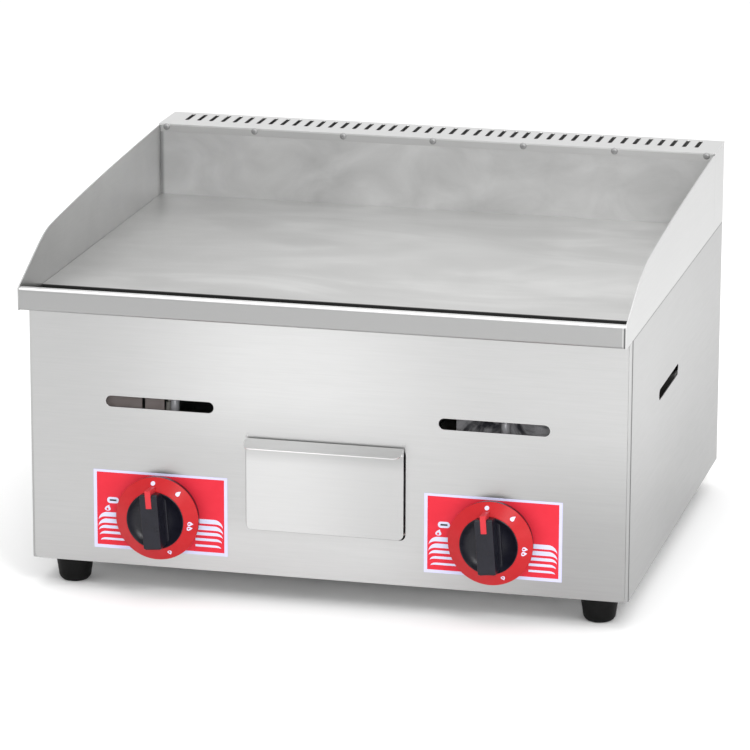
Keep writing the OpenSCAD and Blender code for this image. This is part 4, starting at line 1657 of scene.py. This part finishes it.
@dataclass
class Carried:
    """CAD nodes whose shape is right and which only need their finish."""

    frame: Frame
    paints: Paints
    by_slot: dict[str, str] = field(default_factory=lambda: {
        "stainless_front": "brushed_front",
        "stainless_side": "satin_side",
        "stainless_top": "satin_top",
        "stainless_inner": "mill_sheet",
        "ground_steel": "ground_plate",
        "screw_steel": "bright_screw",
        "burner_steel": "heat_tinted_steel",
        "galvanised": "galvanised_sheet",
        "pipe_steel": "zinc_pipe",
        "brass_parts": "machined_brass",
        "stem_steel": "bright_stem",
        "ceramic_white": "white_glaze",
        "lead_sleeve": "silicone_sleeve",
        "label_film": "label_red",
        "foot_rubber": "foot_rubber",
        "knob_black": "grip_phenolic",
        "knob_red": "skirt_red",
    })
    by_node: dict[str, str] = field(default_factory=lambda: {
        # The burner rails are near black as painted shade.
        "burner_front_rail": "rail_painted_shade",
        "burner_rear_rail": "rail_painted_shade",
        # The right injector bracket carries a painted swirled reflection.
        "right_injector_bracket": "bracket_painted_reflection",
        "left_feed_tube": "aluminium_tube",
        "right_feed_tube": "aluminium_tube",
    })

    def build(self) -> None:
        """Paints every CAD node that still shows."""
        for node, item in self.frame.nodes.items():
            if not item.hide_render:
                finish = self.by_node.get(node, self.by_slot[self.frame.slot_of[node]])
                self.frame.paint(node, self.paints[finish])


@dataclass
class Studio:
    """Pale floor, soft light and the camera."""

    azimuth: float = 13.71
    elevation: float = 15.17
    roll: float = 0.19
    camera: tuple[float, float, float] = (0.9504, -3.9449, 1.2555)
    lens: float = 215.5
    floor_size: float = 14.0
    floor_tone: float = 0.93

    def build(self) -> None:
        """Builds the studio."""
        self.floor()
        self.lights()
        self.view()

    def floor(self) -> None:
        """Lays the floor."""
        deselect()
        bpy.ops.mesh.primitive_plane_add(size=self.floor_size)
        item = settle(bpy.context.object, "floor")
        graph = Graph("floor_paint")
        cloud = graph.noise((1.5, 1.5, 1.5), detail=2.0)
        tone = (self.floor_tone,) * 3
        item.data.materials.append(graph.surface({
            "Base Color": graph.mix(cloud, tone, tuple(part * 0.985 for part in tone)),
            "Roughness": 0.9,
        }))

    def lights(self) -> None:
        """Hangs the softboxes and lights the room."""
        world = bpy.data.worlds.new("studio")
        world.use_nodes = True
        background = world.node_tree.nodes["Background"]
        background.inputs["Color"].default_value = (1.0, 1.0, 1.0, 1.0)
        background.inputs["Strength"].default_value = 1.0
        bpy.context.scene.world = world
        self.softbox("overhead", (0.0, -0.2, 2.6), (0.0, 0.0, 0.2), 2.4, 26.0)
        self.softbox("front_right", (1.7, -2.4, 2.6), (0.0, 0.0, 0.2), 1.1, 38.0)
        self.softbox("low_right", (2.7, -1.9, 0.5), (0.0, -0.2, 0.1), 0.5, 8.0)
        self.softbox("front_fill", (0.85, -3.5, 1.13), (0.0, -0.2, 0.15), 0.6, 26.0)

    @staticmethod
    def softbox(name: str, place: Point, aim: Point, size: float, power: float) -> None:
        """Hangs one square softbox.

        Args:
            name: the light's name.
            place: where it hangs.
            aim: the point that it faces.
            size: its side.
            power: its power in watts.
        """
        light = bpy.data.lights.new(name, "AREA")
        light.size = size
        light.energy = power
        item = bpy.data.objects.new(name, light)
        item.location = place
        item.rotation_euler = (Vector(aim) - Vector(place)).to_track_quat("-Z", "Y").to_euler()
        bpy.context.scene.collection.objects.link(item)

    def view(self) -> None:
        """Places the camera."""
        lens = bpy.data.cameras.new("camera")
        lens.lens = self.lens
        lens.sensor_width = 36.0
        lens.clip_end = 100.0
        item = bpy.data.objects.new("camera", lens)
        tilt = Matrix.Rotation(math.radians(90.0 - self.elevation), 4, "X")
        heading = Matrix.Rotation(math.radians(self.azimuth), 4, "Z")
        level = Matrix.Rotation(math.radians(self.roll), 4, "Z")
        item.matrix_world = Matrix.Translation(self.camera) @ heading @ tilt @ level
        bpy.context.scene.collection.objects.link(item)
        bpy.context.scene.camera = item
        bpy.context.scene.view_settings.view_transform = "Standard"


def main() -> None:
    """Builds the griddle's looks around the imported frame."""
    logging.basicConfig(level=logging.INFO, format="%(name)s: %(message)s")
    frame = Frame(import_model())
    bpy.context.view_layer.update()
    paints = Paints()
    Studio().build()
    Cabinet(frame, paints).build()
    CookingTop(frame, paints).build()
    DripTray(frame, paints).build()
    for side in Side:
        Control(paints, side).build()
    Feet(paints).build()
    PanScrews(paints).build()
    GasInlet(paints).build()
    Carried(frame, paints).build()


if __name__ == "__main__":
    main()
